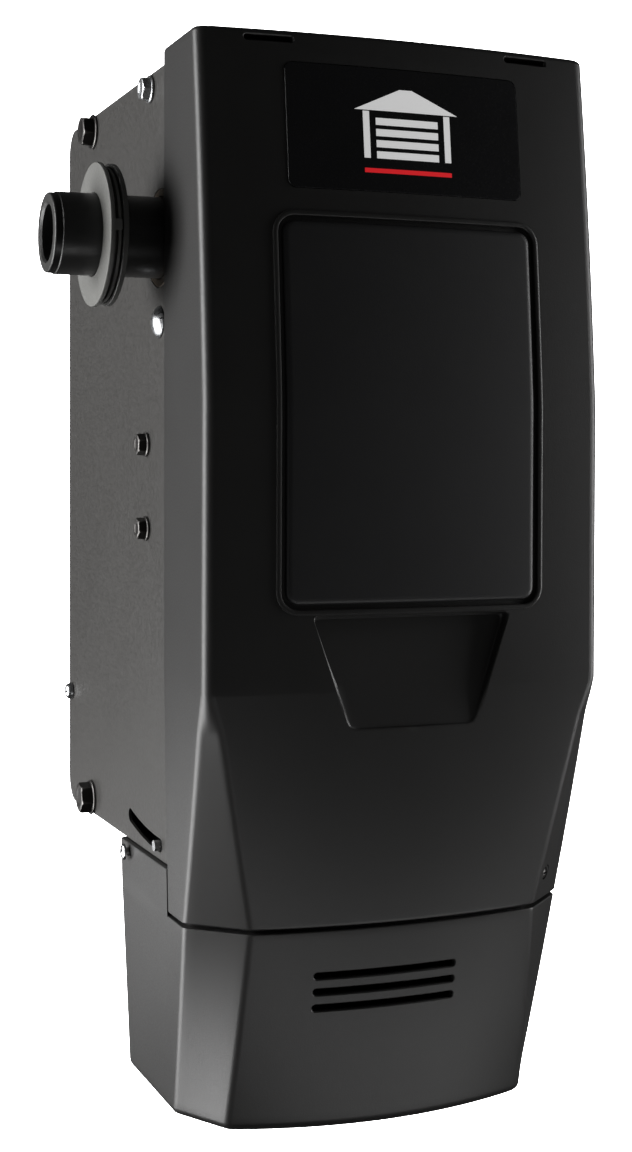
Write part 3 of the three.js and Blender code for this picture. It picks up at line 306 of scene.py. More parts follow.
def rows_of(half, bottom, top, corner, inset=0.0, middle=0.0, sides=12):
    """Rows of a rounded rectangle from the bottom up, each its left, right and height."""
    half, bottom, top = half - inset, bottom + inset, top - inset
    r = max(corner - inset, 0.3)
    turns = [math.radians(90 * i / 6) for i in range(7)]
    rows = [(half - r + r * math.sin(a), bottom + r - r * math.cos(a)) for a in turns]
    rows += [(half, z) for z in evenly(bottom + r, top - r, sides * fine)[1:-1]]
    rows += [(half - r + r * math.cos(a), top - r + r * math.sin(a)) for a in turns]
    return [(middle - width, middle + width, z) for width, z in rows]


def edge_of(rows, across):
    """Points round the edge of rows, as (x, z)."""
    loop = [(x, rows[0][2]) for x in evenly(rows[0][0], rows[0][1], across)]
    loop += [(right, z) for _, right, z in rows[1:]]
    loop += [(x, rows[-1][2]) for x in evenly(rows[-1][1], rows[-1][0], across)[1:]]
    return loop + [(left, z) for left, _, z in rows[-2:0:-1]]


def relief(name, layers, across=12):
    """Solid of layers that follow the front: each is its rows and its depth below the skin."""
    across *= fine
    points = []
    faces = []

    def place(x, z, depth):
        return (x, skin(x, z) + (depth(x, z) if callable(depth) else depth), z)

    for rows, depth in layers:
        points += [place(x, z, depth) for x, z in edge_of(rows, across)]
    count = len(points) // len(layers)
    for level in range(len(layers) - 1):
        for i in range(count):
            a = level * count + i
            b = level * count + (i + 1) % count
            faces.append((a, b, b + count, a + count))
    for rows, depth in (layers[0], layers[-1]):
        base = len(points)
        for left, right, z in rows:
            points += [place(x, z, depth) for x in evenly(left, right, across)]
        for row in range(len(rows) - 1):
            for i in range(across):
                a = base + row * (across + 1) + i
                faces.append((a, a + 1, a + across + 2, a + across + 1))
    return solid(name, points, faces)


def panel_rows(inset):
    return rows_of(panel_half, panel_bottom, panel_top, panel_corner, inset)


def label_rows(inset):
    return rows_of(label_half, label_bottom, label_top, label_corner, inset)


def scoop_rows(grow):
    """Rows of the tapered scoop under the panel, with small rounded corners."""
    top = scoop_top + grow
    bottom = scoop_bottom - grow
    rows = []
    for share in (*[0.018 * i for i in range(4)], *evenly(0.07, 0.93, 8 * fine), 0.965, 0.985, 1):
        nearest = min(share, 1 - share) / 0.06
        rounding = 2.2 * (1 - math.sqrt(max(0, 1 - (1 - min(1, nearest)) ** 2)))
        width = 29.5 + 17.5 * share + grow - rounding
        rows.append((-width, width, bottom + (top - bottom) * share))
    return rows


def scoop_floor(sink, share=1.0):
    """Depth of the scoop's flat, slanting floor, or of a share of it."""
    top_y = front_at(scoop_top)[0] + 7
    bottom_y = front_at(scoop_bottom)[0] + 1.2

    def depth(x, z):
        across = (z - scoop_bottom) / (scoop_top - scoop_bottom)
        return (bottom_y + (top_y - bottom_y) * across - skin(x, z) + sink) * share
    return depth


def scoop_cut():
    return relief("tool", [
        (scoop_rows(0.9), -4), (scoop_rows(0.9), -0.02), (scoop_rows(0.3), scoop_floor(0, 0.1)),
        (scoop_rows(0), scoop_floor(0, 0.3)), (scoop_rows(-0.4), scoop_floor(0, 0.85)),
        (scoop_rows(-1.2), scoop_floor(0)),
    ])


def bead():
    """Raised rim round the front panel; its inner flank is the groove's outer wall."""
    section = [(0.1, 0.6), (0, 0), (0.1, -0.4), (0.4, -0.66), (0.9, -0.76), (1.5, -0.76), (2.0, -0.6),
               (2.3, -0.3), (bead_width, 0.2), (bead_width, 2.2), (1.2, 2.2)]
    rings = []
    for inset, depth in section:
        edge = edge_of(panel_rows(inset), 12 * fine)
        rings.append([(x, skin(x, z) + depth, z) for x, z in edge])
    return stack("tool", rings, joined=True)


def slot_through(rows):
    """A straight slot through the front, with its mouth eased."""
    return relief("tool", [(rows(-0.5), -3), (rows(-0.5), -0.02), (rows(0), 0.5), (rows(0), 12)], 6)


def screw_place():
    """Middle and outward direction of the screw seat on the right-hand facet."""
    z = seam_z + 13
    centre, bow, side, front, draw, _ = front_at(z)
    half = half_width - draw
    start = Vector((half, centre + bow + side))
    end = Vector((half - front, skin(half - front, z)))
    at = start.lerp(end, 0.72)
    along = end - start
    return Vector((at.x, at.y, z)), Vector((-along.y, along.x, 0)).normalized()


screw_at, screw_out = screw_place()
if screw_out.y > 0:
    screw_out.negate()
screw_turn = Matrix.Rotation(math.atan2(screw_out.y, screw_out.x), 3, "Z")
screw_hole = turned("tool", [(-12, 0), (-12, 3.3), (-0.4, 3.3), (0.1, 3.9), (5, 3.9), (5, 0)], 40)

cover = upper_body("main_cover_moulding", 0, cover_rear, seam_z)
cut(cover, upper_body("tool", -cover_wall, cover_rear + 20, seam_z - 6))
add(cover, relief("tool", [(scoop_rows(2.4), 0.5), (scoop_rows(2.4), scoop_floor(2.4))]))
cut(cover, relief("tool", [(panel_rows(2), -3), (panel_rows(2), 1.8)]))
add(cover, bead())
cut(cover, relief("tool", [(label_rows(0), -3), (label_rows(0), 0.8)]))
cut(cover, scoop_cut())
for middle in (-62.5, 62.5):
    cut(cover, slot_through(lambda inset, x=middle: rows_of(11, 78.4, 81, 1.1, inset, x, 2)))
cut(cover, moved(screw_hole, screw_at, screw_turn))
cover_plastic = finish(
    "cover plastic", (0.0185, 0.018, 0.0175), (0.022, 0.0215, 0.021), (0.36, 0.46), 1400, 0.00003,
    worn=(0.035, 0.035, 0.034))
fit(cover, cover_plastic, "housing", "cover_plastic", "main_cover", sharp=28)

# ---- Front panel ---------------------------------------------------------------------
# A separate black ABS insert pushed into the recess inside the bead. An open groove is
# left all round it, and its face stands just proud of the cover with a rounded edge.

panel = relief("front_panel_insert", [
    (panel_rows(7.4), -0.81), (panel_rows(6.5), -0.75), (panel_rows(5.7), -0.55),
    (panel_rows(5.1), -0.2), (panel_rows(4.75), 0.25), (panel_rows(4.6), 0.8), (panel_rows(4.6), 1.5),
])
panel_plastic = finish(
    "panel plastic", (0.0165, 0.0165, 0.0175), (0.02, 0.02, 0.021), (0.42, 0.52), 1600, 0.00003)
fit(panel, panel_plastic, "housing", "panel_plastic", "front_panel")

# ---- Label plate ---------------------------------------------------------------------
# A thin glossy black plate glued in a shallow seat. A plain house sign with a slatted
# door and a short red rule are printed on it in thick ink, given a faint painted glow.

label = relief("label_plate", [
    (label_rows(0.8), -0.4), (label_rows(0.45), -0.34), (label_rows(0.3), -0.15),
    (label_rows(0.3), 0.5),
])
label_gloss = finish("label gloss", (0.008, 0.008, 0.009), (0.011, 0.011, 0.012), (0.2, 0.28), 900, 0.00001)
fit(label, label_gloss, "housing", "label_plastic", "badge_plate")


def inked(name, rows, look):
    """Thick printed ink that stands just above the label plate."""
    mark = relief(name, [(rows, -0.46), (rows, -0.38)], 4)
    return fit(mark, look, "housing", "label_plastic")


def bar_rows(left, right, bottom, top):
    return [(left, right, z) for z in evenly(bottom, top, 2)]


glowing_white_ink = finish("glowing white ink", (0.7, 0.7, 0.7), (0.78, 0.78, 0.78), (0.4, 0.5), 2500, 0.00001)
glowing_red_ink = finish("glowing red ink", (0.6, 0.012, 0.014), (0.68, 0.018, 0.02), (0.4, 0.5), 2500, 0.00001)
# Both inks get a faint emission: a painted glow that makes the print shine though it is no lamp.
for ink, tint in ((glowing_white_ink, (1, 1, 1, 1)), (glowing_red_ink, (1, 0.02, 0.03, 1))):
    ink.node_tree.nodes["Principled BSDF"].inputs["Emission Color"].default_value = tint
    ink.node_tree.nodes["Principled BSDF"].inputs["Emission Strength"].default_value = 0.4
for i in range(4):
    z = 29 + 5 * i
    inked(f"sign_door_slat_{i + 1}", bar_rows(-15, 15, z, z + 3.2), glowing_white_ink)
inked("sign_left_post", bar_rows(-21, -18, 29, 50), glowing_white_ink)
inked("sign_right_post", bar_rows(18, 21, 29, 50), glowing_white_ink)
inked("sign_gable", [(-25 + 2.2 * i, 25 - 2.2 * i, 50.5 + i) for i in range(11)], glowing_white_ink)
inked("sign_rule", bar_rows(-21, 21, 22.5, 24.5), glowing_red_ink)

# ---- Lower cover ---------------------------------------------------------------------
# The same ABS as a deep tray under the seam, held by a screw on each side. A lip inside
# its edge enters the main cover, and three slots in its front let warm air out.

lower_top = -310.3
lower_bottom = -403.8
lower_rear = -116
side_top = -289
ear_screw_y = -131
ear_screw_z = side_top - 4.5
inlet_x = -50
inlet_z = lower_bottom + 27
button_y = -170
button_places = (20, 34, 48)
lens_x = 6


def lower_body(name, offset, top, rounded=True):
    """The lower cover's body, with a rounded bottom edge and an eased top edge."""
    bottom = lower_bottom - offset
    levels = []
    for i in range(7):
        angle = math.radians(15 * i)
        levels.append((bottom + 5 * (1 - math.cos(angle)), 5 * (1 - math.sin(angle))))
    levels += [(z, 0) for z in evenly(bottom + 5, top - 0.7, 14 * fine)]
    levels += [(top - 0.2, 0.2), (top, 0.55)] if rounded else [(top, 0)]
    return stack(name, [outline(z, offset - e, lower_rear + offset - e, 2) for z, e in levels])


def vent(index):
    z = lower_top - 20.7 - 7.4 * index
    return slot_through(lambda inset: rows_of(34, z - 1.55, z + 1.55, 1.45, inset, -6, 2))


def bar_along(axis, middle, radius, low, high):
    """A round cutting bar along X, Y or Z."""
    turns = {
        "X": Matrix(), "Y": Matrix.Rotation(math.pi / 2, 4, "Z"),
        "Z": Matrix.Rotation(-math.pi / 2, 4, "Y"),
    }
    tool = turned("tool", [(low, 0), (low, radius), (high, radius), (high, 0)], 40)
    return moved(tool, middle, turns[axis])


tray = lower_body("lower_cover_moulding", 0, lower_top)
ears = lower_body("ears", 0, side_top)
joined_with(ears, block("tool", (-120, cover_rear + 1, lower_top - 8), (120, -90, 0)), "INTERSECT")
add(tray, ears)
cut(tray, lower_body("tool", -cover_wall, side_top + 10, rounded=False))
lip = lower_body("lip", -cover_wall - 0.4, lower_top + 6)
lip_low = (-half_width, -270, lower_top - 6)
lip_high = (half_width, cover_rear - 4, lower_top + 9)
joined_with(lip, block("tool", lip_low, lip_high), "INTERSECT")
cut(lip, lower_body("tool", -cover_wall - 2, side_top, rounded=False))
root = lower_body("root", -cover_wall + 0.5, lower_top - 1)
root_low = (-half_width, -270, lower_top - 5)
root_high = (half_width, cover_rear - 4, lower_top - 1.4)
joined_with(root, block("tool", root_low, root_high), "INTERSECT")
cut(root, lower_body("tool", -cover_wall - 1.9, side_top, rounded=False))
add(lip, root)
add(tray, lip)
cut(tray, vent(0), vent(1), vent(2))
cut(tray, bar_along("X", (0, ear_screw_y, ear_screw_z), 2.3, -105, 105))
cut(tray, bar_along("Y", (inlet_x, 0, inlet_z), 9, -150, -90))
for x in button_places:
    cut(tray, bar_along("Z", (x, button_y, lower_bottom), 4.1, -5, 9))
cut(tray, bar_along("Z", (lens_x, button_y, lower_bottom), 2.8, -5, 9))
fit(tray, cover_plastic, "housing", "cover_plastic", "lower_cover", sharp=28)

# ---- Program buttons and status lens -------------------------------------------------
# Three moulded push buttons, one yellow and two grey, and a domed amber lens come down
# through the tray's floor. Each button is held by the flange inside the floor.


def coated(name, low, high, rough):
    look = finish(name, low, high, rough, 1800, 0.00001)
    look.node_tree.nodes["Principled BSDF"].inputs["Coat Weight"].default_value = 0.3
    return look


yellow_plastic = coated("yellow button", (0.5, 0.33, 0.03), (0.58, 0.38, 0.04), (0.35, 0.45))
grey_plastic = coated("grey button", (0.13, 0.135, 0.14), (0.16, 0.165, 0.17), (0.35, 0.45))
amber_plastic = coated("amber lens", (0.6, 0.2, 0.02), (0.75, 0.28, 0.03), (0.08, 0.14))
button_profile = [
    (0.55, 0), (0.42, 1.4), (0.24, 2.5), (0.22, 3.0), (0.35, 3.4), (0.65, 3.7), (1.0, 3.8), (3.3, 3.8),
    (3.3, 5.1), (3.4, 5.2), (4.6, 5.2), (4.7, 5.1), (4.7, 2), (7.8, 2), (8, 1.8), (8, 0),
]
lens_profile = [
    (0.1, 0), (0.16, 0.8), (0.4, 1.6), (0.85, 2.2), (1.4, 2.5), (3.3, 2.5), (3.3, 3.5), (7, 3.5), (7, 0),
]
upward = Matrix.Rotation(-math.pi / 2, 3, "Y")
for number, x in enumerate(button_places, 1):
    look = yellow_plastic if number == 1 else grey_plastic
    slot = "yellow_button" if number == 1 else "grey_button"
    button = turned(f"push_button_{number}", button_profile, 48)
    moved(button, (x, button_y, lower_bottom), upward)
    fit(button, look, f"button_{number}", slot, f"program_button_{number}")
lens = moved(turned("lens_dome", lens_profile, 48), (lens_x, button_y, lower_bottom), upward)
fit(lens, amber_plastic, "housing", "lens", "status_lens")

# ---- Cord inlet ----------------------------------------------------------------------
# A black rubber bush lines the hole in the tray's back where the mains cord enters. Its
# flange lies outside the wall and its tail is pressed through.

rubber = finish("black rubber", (0.012, 0.012, 0.012), (0.02, 0.02, 0.02), (0.62, 0.8), 1100, 0.00004)
bush = turned("inlet_grommet", [
    (-7, 4.4), (-7, 8.4), (-6.7, 8.7), (0.3, 8.7), (0.3, 11.4), (0.6, 11.65), (1.6, 11.4), (2.5, 11.0),
    (2.95, 10.2), (3, 9.6), (3, 5.2), (2.8, 4.5), (2.3, 4.05), (1.8, 4), (-6.6, 4),
], 56)
moved(bush, (inlet_x, lower_rear, inlet_z), Matrix.Rotation(math.pi / 2, 3, "Z"))
fit(bush, rubber, "housing", "rubber", "inlet_bush")

# ---- Chassis -------------------------------------------------------------------------
# Five sheets of 1.5 mm steel, cut, folded and bolted into a frame, then painted a warm
# satin grey. The left sheet also has the release lever's curved slot.

plate_x = 91
plate_thick = 1.5
plate_top = 79
plate_bottom = -288.5
plate_round = 13
head_seat = plate_x + 0.3
sleeve_y = -177
stud_z = -39
slot_reach = 243
slot_half = 3.25
plate_rows = {
    "upper_front_bolt": (-162, 72, 3.3), "upper_rear_bolt": (-54, 71, 4.3),
    "lower_rear_bolt": (-50, -280.5, 4.3), "bracket_bolt_upper": (-155, -95.5, 2.8),
    "bracket_bolt_lower": (-155, -135.4, 2.8), "rear_screw": (-6.5, -229, 2.3),
}
steel_paint = finish(
    "grey paint", (0.02, 0.0182, 0.0164), (0.0245, 0.0224, 0.0202), (0.42, 0.55), 520, 0.00005, metal=0.1,
    patch=12, worn=(0.04, 0.039, 0.037))


def arc(y, z, radius, start, end, steps=14):
    """Points of an arc in the (Y, Z) plane, between two angles in degrees."""
    turns = [math.radians(a) for a in evenly(start, end, steps)]
    return [(y + radius * math.cos(a), z + radius * math.sin(a)) for a in turns]


def sheet_from(name, points, low, high):
    """A flat sheet cut to points in (Y, Z), from one X to another."""
    return stack(name, [[(x, y, z) for y, z in points] for x in (low, high)])


def side_sheet(side, word):
    outer = side * plate_x
    inner = side * (plate_x - plate_thick)
    points = [(-218, apex_z), (cover_rear + 3, -239.9), (cover_rear + 3, plate_bottom)]
    points += arc(-plate_round, plate_bottom + plate_round, plate_round, -90, 0)
    points += arc(-plate_round, plate_top - plate_round, plate_round, 0, 90)
    points += [(-218, plate_top)]
    sheet = sheet_from(f"{word}_sheet", points, min(outer, inner), max(outer, inner))
    cut(sheet, bar_along("X", (outer, sleeve_y, 0), 23, -4, 4))
    for y, z, radius in plate_rows.values():
        cut(sheet, bar_along("X", (outer, y, z), radius, -4, 4))
    if side < 0:
        cut(sheet, bar_along("X", (outer, sleeve_y, stud_z), 5.3, -4, 4))
        turns = (-90.07, -77.93)
        ends = [arc(sleeve_y, stud_z, slot_reach, t, t, 1)[0] for t in turns]
        slot = arc(sleeve_y, stud_z, slot_reach + slot_half, *turns)
        slot += arc(*ends[1], slot_half, turns[1], turns[1] + 180)[1:-1]
        slot += arc(sleeve_y, stud_z, slot_reach - slot_half, turns[1], turns[0])
        slot += arc(*ends[0], slot_half, turns[0] + 180, turns[0] + 360)[1:-1]
        cut(sheet, sheet_from("tool", slot, outer - 4, outer + 4))
    return fit(sheet, steel_paint, "housing", "painted_steel", f"chassis_{word}_plate")


side_sheet(-1, "left")
side_sheet(1, "right")


def easing_group():
    """Shades round faces smooth and keeps every edge over 30 degrees crisp."""
    group = bpy.data.node_groups.new("easing", "GeometryNodeTree")
    group.interface.new_socket("Geometry", in_out="INPUT", socket_type="NodeSocketGeometry")
    group.interface.new_socket("Geometry", in_out="OUTPUT", socket_type="NodeSocketGeometry")
    start = group.nodes.new("NodeGroupInput")
    end = group.nodes.new("NodeGroupOutput")
    faces = group.nodes.new("GeometryNodeSetShadeSmooth")
    edges = group.nodes.new("GeometryNodeSetShadeSmooth")
    edges.domain = "EDGE"
    edges.inputs["Shade Smooth"].default_value = False
    angle = group.nodes.new("GeometryNodeInputMeshEdgeAngle")
    over = group.nodes.new("FunctionNodeCompare")
    over.operation = "GREATER_THAN"
    over.inputs["B"].default_value = math.radians(30)
    group.links.new(angle.outputs["Unsigned Angle"], over.inputs["A"])
    group.links.new(over.outputs["Result"], edges.inputs["Selection"])
    group.links.new(start.outputs["Geometry"], faces.inputs["Geometry"])
    group.links.new(faces.outputs["Geometry"], edges.inputs["Geometry"])
    group.links.new(edges.outputs["Geometry"], end.inputs["Geometry"])
    return group


easing = easing_group()


def dress(node, look, edge=0.3):
    """Gives a piece of the frame its finish and eases its edges."""
    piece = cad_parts[node]
    if not piece.data.materials:
        piece.data.materials.append(look)
    for place in piece.material_slots:
        place.material = look
    if edge:
        rounding = piece.modifiers.new("edges", "BEVEL")
        rounding.width = edge * 0.001
        rounding.segments = 2
        rounding.limit_method = "ANGLE"
        rounding.angle_limit = math.radians(40)
    shading = piece.modifiers.new("easing", "NODES")
    shading.node_group = easing


for node in ("chassis_back_plate", "chassis_top_plate", "chassis_bottom_plate"):
    dress(node, steel_paint)

# ---- Chassis bolts and screws --------------------------------------------------------
# Flanged hex bolts hold the frame and the motor's shelf, the two at the upper front
# bright zinc and the rest black oxide. Small domed screws hold the back and the covers.

bright_zinc = finish(
    "zinc plate", (0.42, 0.43, 0.44), (0.6, 0.61, 0.62), (0.22, 0.4), 700, 0.00003, metal=1.0, patch=90)
black_oxide = finish(
    "black oxide", (0.028, 0.026, 0.025), (0.05, 0.048, 0.046), (0.3, 0.45), 900, 0.00003, metal=0.8,
    worn=(0.35, 0.34, 0.33))
half_turn = Matrix.Rotation(math.pi, 3, "Z")


def hex_bolt(name, across, head, shank, length):
    """Flanged hex bolt along X with its washer face at 0 and a dished, chamfered head."""
    corner = across / math.sqrt(3)
    flange = corner * 1.12
    levels = [
        (-length, shank - 0.5, 0), (-length + 0.5, shank, 0), (0, shank, 0), (0, flange - 0.15, 0),
        (0.15, flange, 0), (0.8, flange, 0), (1.15, flange - 0.4, 0), (1.2, flange - 0.6, 1),
        (1.5, corner, 1), (head - 1.1, corner, 1), (head - 0.6, corner * 0.955, 1),
        (head - 0.25, corner * 0.885, 1), (head, corner * 0.8, 1), (head, corner * 0.56, 0),
        (head - 0.25, corner * 0.5, 0), (head - 0.45, corner * 0.3, 0),
    ]
    rings = []
    for x, limit, six_sided in levels:
        ring = []
        for i in range(72):
            angle = math.radians(5 * i)
            flat = across / 2 / math.cos((angle + math.pi / 6) % (math.pi / 3) - math.pi / 6)
            radius = min(limit, flat) if six_sided else limit
            ring.append((x, radius * math.cos(angle), radius * math.sin(angle)))
        rings.append(ring)
    return stack(name, rings)


def dome_screw(name, head, proud, shank, length):
    """Domed slotted screw along X with the underside of its head at 0."""
    screw = turned(name, [
        (-length, 0), (-length, shank - 0.4), (-length + 0.4, shank), (0, shank), (0, head - 0.15),
        (0.15, head), (proud * 0.3, head * 0.98), (proud * 0.5, head * 0.92), (proud * 0.7, head * 0.8),
        (proud * 0.86, head * 0.6), (proud * 0.96, head * 0.34), (proud, 0),
    ], 48)
    arm = head * 0.7
    slot = head * 0.14
    return cut(screw, block("tool", (proud * 0.6, -arm, -slot), (proud + 1, arm, slot)))


bolt_sizes = {
    "upper_front_bolt": (10, 5, 3, 4.3), "upper_rear_bolt": (14, 7, 4, 4.3),
    "lower_rear_bolt": (14, 7, 4, 4.3), "bracket_bolt_upper": (9, 5, 2.5, 4.1),
    "bracket_bolt_lower": (9, 5, 2.5, 4.1),
}
for side, word in ((-1, "left"), (1, "right")):
    turn = half_turn if side < 0 else Matrix.Identity(3)
    for bolt, size in bolt_sizes.items():
        y, z, _ = plate_rows[bolt]
        piece = hex_bolt(f"{word}_{bolt}_head", *size)
        moved(piece, (side * head_seat, y, z), turn @ Matrix.Rotation(math.radians(z * 7), 3, "X"))
        bright = bolt == "upper_front_bolt"
        fit(piece, bright_zinc if bright else black_oxide, "housing", "zinc" if bright else "dark_bolt",
            f"{word}_{bolt}")
    y, z, _ = plate_rows["rear_screw"]
    rear = moved(dome_screw(f"{word}_rear_dome", 4.5, 4, 2, 3.6), (side * head_seat, y, z), turn)
    fit(rear, bright_zinc, "housing", "zinc", f"{word}_rear_screw")
    low = dome_screw(f"{word}_cover_dome", 4, 2, 2, 8.3)
    moved(low, (side * (half_width + 0.3), ear_screw_y, ear_screw_z), turn @ Matrix.Rotation(0.6, 3, "X"))
    fit(low, bright_zinc, "housing", "zinc", f"{word}_cover_screw")
front_dome = moved(dome_screw("front_dome", 2.8, 2, 1.8, 9), screw_at - 2 * screw_out, screw_turn)
fit(front_dome, black_oxide, "housing", "dark_bolt", "front_screw")

# ---- Drive sleeve, its bearings and its collar ---------------------------------------
# A hollow black phosphated steel sleeve turns in two flanged bearings and clamps on the
# door's shaft. A white nylon spool ring and a grey rubber washer sit on its left end.

sleeve_black = finish(
    "black phosphate", (0.008, 0.008, 0.008), (0.013, 0.0125, 0.012), (0.3, 0.42), 800, 0.00002,
    metal=0.2, stretch=(0.3, 1, 1), patch=60, worn=(0.06, 0.06, 0.06))
oiled_bronze = finish(
    "oiled bronze", (0.05, 0.038, 0.026), (0.08, 0.06, 0.04), (0.35, 0.5), 1200, 0.00003, metal=0.8)
white_nylon = finish(
    "white nylon", (0.12, 0.12, 0.114), (0.16, 0.16, 0.152), (0.42, 0.54), 900, 0.00003)


def bare_end(look, limit, colour):
    """Leaves the metal bare and bright to the left of a place along the sleeve."""
    nodes = look.node_tree.nodes
    links = look.node_tree.links
    shader = nodes["Principled BSDF"]
    where = nodes.new("ShaderNodeTexCoord")
    parts = nodes.new("ShaderNodeSeparateXYZ")
    links.new(where.outputs["Object"], parts.inputs["Vector"])
    past = nodes.new("ShaderNodeMath")
    past.operation = "LESS_THAN"
    past.inputs[1].default_value = limit * 0.001
    links.new(parts.outputs["X"], past.inputs[0])
    mixed = nodes.new("ShaderNodeMixRGB")
    mixed.inputs["Color2"].default_value = (*colour, 1)
    links.new(past.outputs["Value"], mixed.inputs["Fac"])
    links.new(shader.inputs["Base Color"].links[0].from_socket, mixed.inputs["Color1"])
    links.new(mixed.outputs["Color"], shader.inputs["Base Color"])


bare_end(sleeve_black, -144.25, (0.05, 0.05, 0.048))
sleeve = turned("sleeve_tube", [
    (-144.5, 13.9), (-144.5, 17.3), (-144.3, 17.8), (-143.9, 18.15), (-143.4, 18.25), (-141, 18.25),
    (-140.8, 18.4), (-140.6, 18.75), (-122.3, 18.75), (-122.3, 17.65), (-118.1, 17.65), (-118.1, 18.75),
    (96, 18.75), (96.6, 18.6), (96.9, 18.2), (97, 17.75), (97, 13.3), (96.6, 12.9), (-143.5, 12.9),
], 48 * fine)
moved(sleeve, (0, sleeve_y, 0))
for y in (-1, 1):
    low, high = sorted((sleeve_y + 16.75 * y, sleeve_y + 20.75 * y))
    cut(sleeve, block("tool", (-40.6, low, -2.5), (-12.6, high, 2.5)))
fit(sleeve, sleeve_black, "sleeve", "black_steel", "drive_sleeve")
for side, word in ((-1, "left"), (1, "right")):
    bearing = turned(f"{word}_bush", [
        (0.3, 19.05), (0, 19.35), (0, 22.4), (0.3, 22.7), (1.8, 22.7), (1.8, 27.7), (2.1, 28),
        (5.6, 28), (5.8, 27.9), (7.7, 25.1), (7.8, 24.9), (7.8, 19.4), (7.5, 19.05),
    ], 64)
    moved(bearing, (side * plate_x, sleeve_y, 0), half_turn if side > 0 else None)
    fit(bearing, oiled_bronze, "housing", "bronze", f"{word}_bearing")


def eased(piece, width):
    """Rounds a plain block's edges."""
    rounding = piece.modifiers.new("round", "BEVEL")
    rounding.width = width * 0.001
    rounding.segments = 3
    shown = piece.evaluated_get(bpy.context.evaluated_depsgraph_get())
    mesh = bpy.data.meshes.new_from_object(shown)
    piece.modifiers.clear()
    piece.data = mesh
    return piece


collar = turned("collar_spool", [
    (-123, 19.35), (-123, 32.3), (-122.85, 32.75), (-122.4, 33), (-121.2, 33), (-120.95, 32.8),
    (-120.9, 32.5), (-120.9, 28.2), (-120.7, 28), (-119.2, 28), (-119, 28.2), (-119, 30.6),
    (-118.85, 30.9), (-118.6, 31), (-117.7, 31), (-117.4, 30.7), (-117.4, 19.3), (-117.6, 19.05),
    (-118.4, 19.05), (-118.4, 17.95), (-122, 17.95), (-122, 19.05), (-122.7, 19.05),
], 48 * fine)
add(collar, eased(block("bridge", (-121.9, -31.6, -1.5), (-117.2, -27, 3.5)), 0.5))
moved(collar, (0, sleeve_y, 0))
fit(collar, white_nylon, "sleeve", "white_nylon", "collar_ring")
washer = turned("rubber_ring", [
    (-116.8, 19.3), (-116.8, 32.2), (-116.5, 32.5), (-114.7, 32.5), (-114.4, 32.2), (-114.4, 19.3),
    (-114.7, 19.05), (-116.5, 19.05),
], 48 * fine)
grey_rubber = finish("grey rubber", (0.06, 0.06, 0.058), (0.09, 0.09, 0.086), (0.5, 0.62), 900, 0.00003)
fit(moved(washer, (0, sleeve_y, 0)), grey_rubber, "sleeve", "rubber", "collar_washer")

# ---- Hand release --------------------------------------------------------------------
# A zinc-plated stud with a domed head carries the release lever, whose round tab moves
# in the plate's slot. The lever slides the steel fork that shifts the clutch dog.

bare_steel = finish(
    "machined steel", (0.3, 0.305, 0.31), (0.42, 0.425, 0.43), (0.24, 0.4), 1000, 0.00002, metal=1.0,
    stretch=(1, 1, 6), patch=80)
stud = turned("release_pin", [
    (-95, 0), (-94.95, 1.4), (-94.7, 2.8), (-94.2, 4.2), (-93.5, 5.5), (-92.6, 6.6), (-91.8, 7.3),
    (-91.5, 7.5), (-91.3, 7.4), (-91.3, 5), (-89.2, 5), (-89.2, 7.8), (-89, 8), (-87.4, 8), (-87.2, 7.8),
    (-87.2, 5), (-12.4, 5), (-12, 4.6), (-12, 0),
], 56)
fit(moved(stud, (0, sleeve_y, stud_z)), bright_zinc, "housing", "zinc", "release_stud")
dress("release_lever", bright_zinc)
dress("shift_fork", bare_steel)
dress("clutch_dog", bare_steel)

# ---- Worm drive ----------------------------------------------------------------------
# A bronze worm wheel turns on the sleeve beside its steel retaining ring. The hardened
# steel worm comes up from the motor and has a slotted black counting disc on top.

wheel_bronze = finish(
    "machined bronze", (0.38, 0.24, 0.09), (0.48, 0.31, 0.13), (0.22, 0.38), 900, 0.00002, metal=1.0,
    stretch=(6, 1, 1), patch=70)
dress("worm_wheel", wheel_bronze, 0.2)
dress("wheel_retainer", bare_steel)
dress("worm_shaft", bare_steel, 0)
dress("encoder_disc", rubber, 0.15)

# ---- Motor and its supports ----------------------------------------------------------
# A drawn steel can with a black end cap hangs from a folded zinc-plated shelf. A second
# folded cross-piece steadies the worm's upper end.

folded_zinc = finish(
    "zinc sheet", (0.4, 0.41, 0.42), (0.58, 0.59, 0.6), (0.3, 0.46), 260, 0.00004, metal=0.9, patch=45)
black_enamel = finish(
    "black enamel", (0.014, 0.014, 0.015), (0.022, 0.022, 0.023), (0.34, 0.46), 700, 0.00004)
dress("motor_can", bare_steel, 0.6)
dress("motor_end_cap", black_enamel, 0.6)
dress("motor_shelf", folded_zinc)
dress("worm_support", folded_zinc)

# ---- Electrics -----------------------------------------------------------------------
# A green glass-fibre board with black relays, a grey moulded row of screw terminals and
# a laminated transformer whose coil is wrapped in yellow tape.


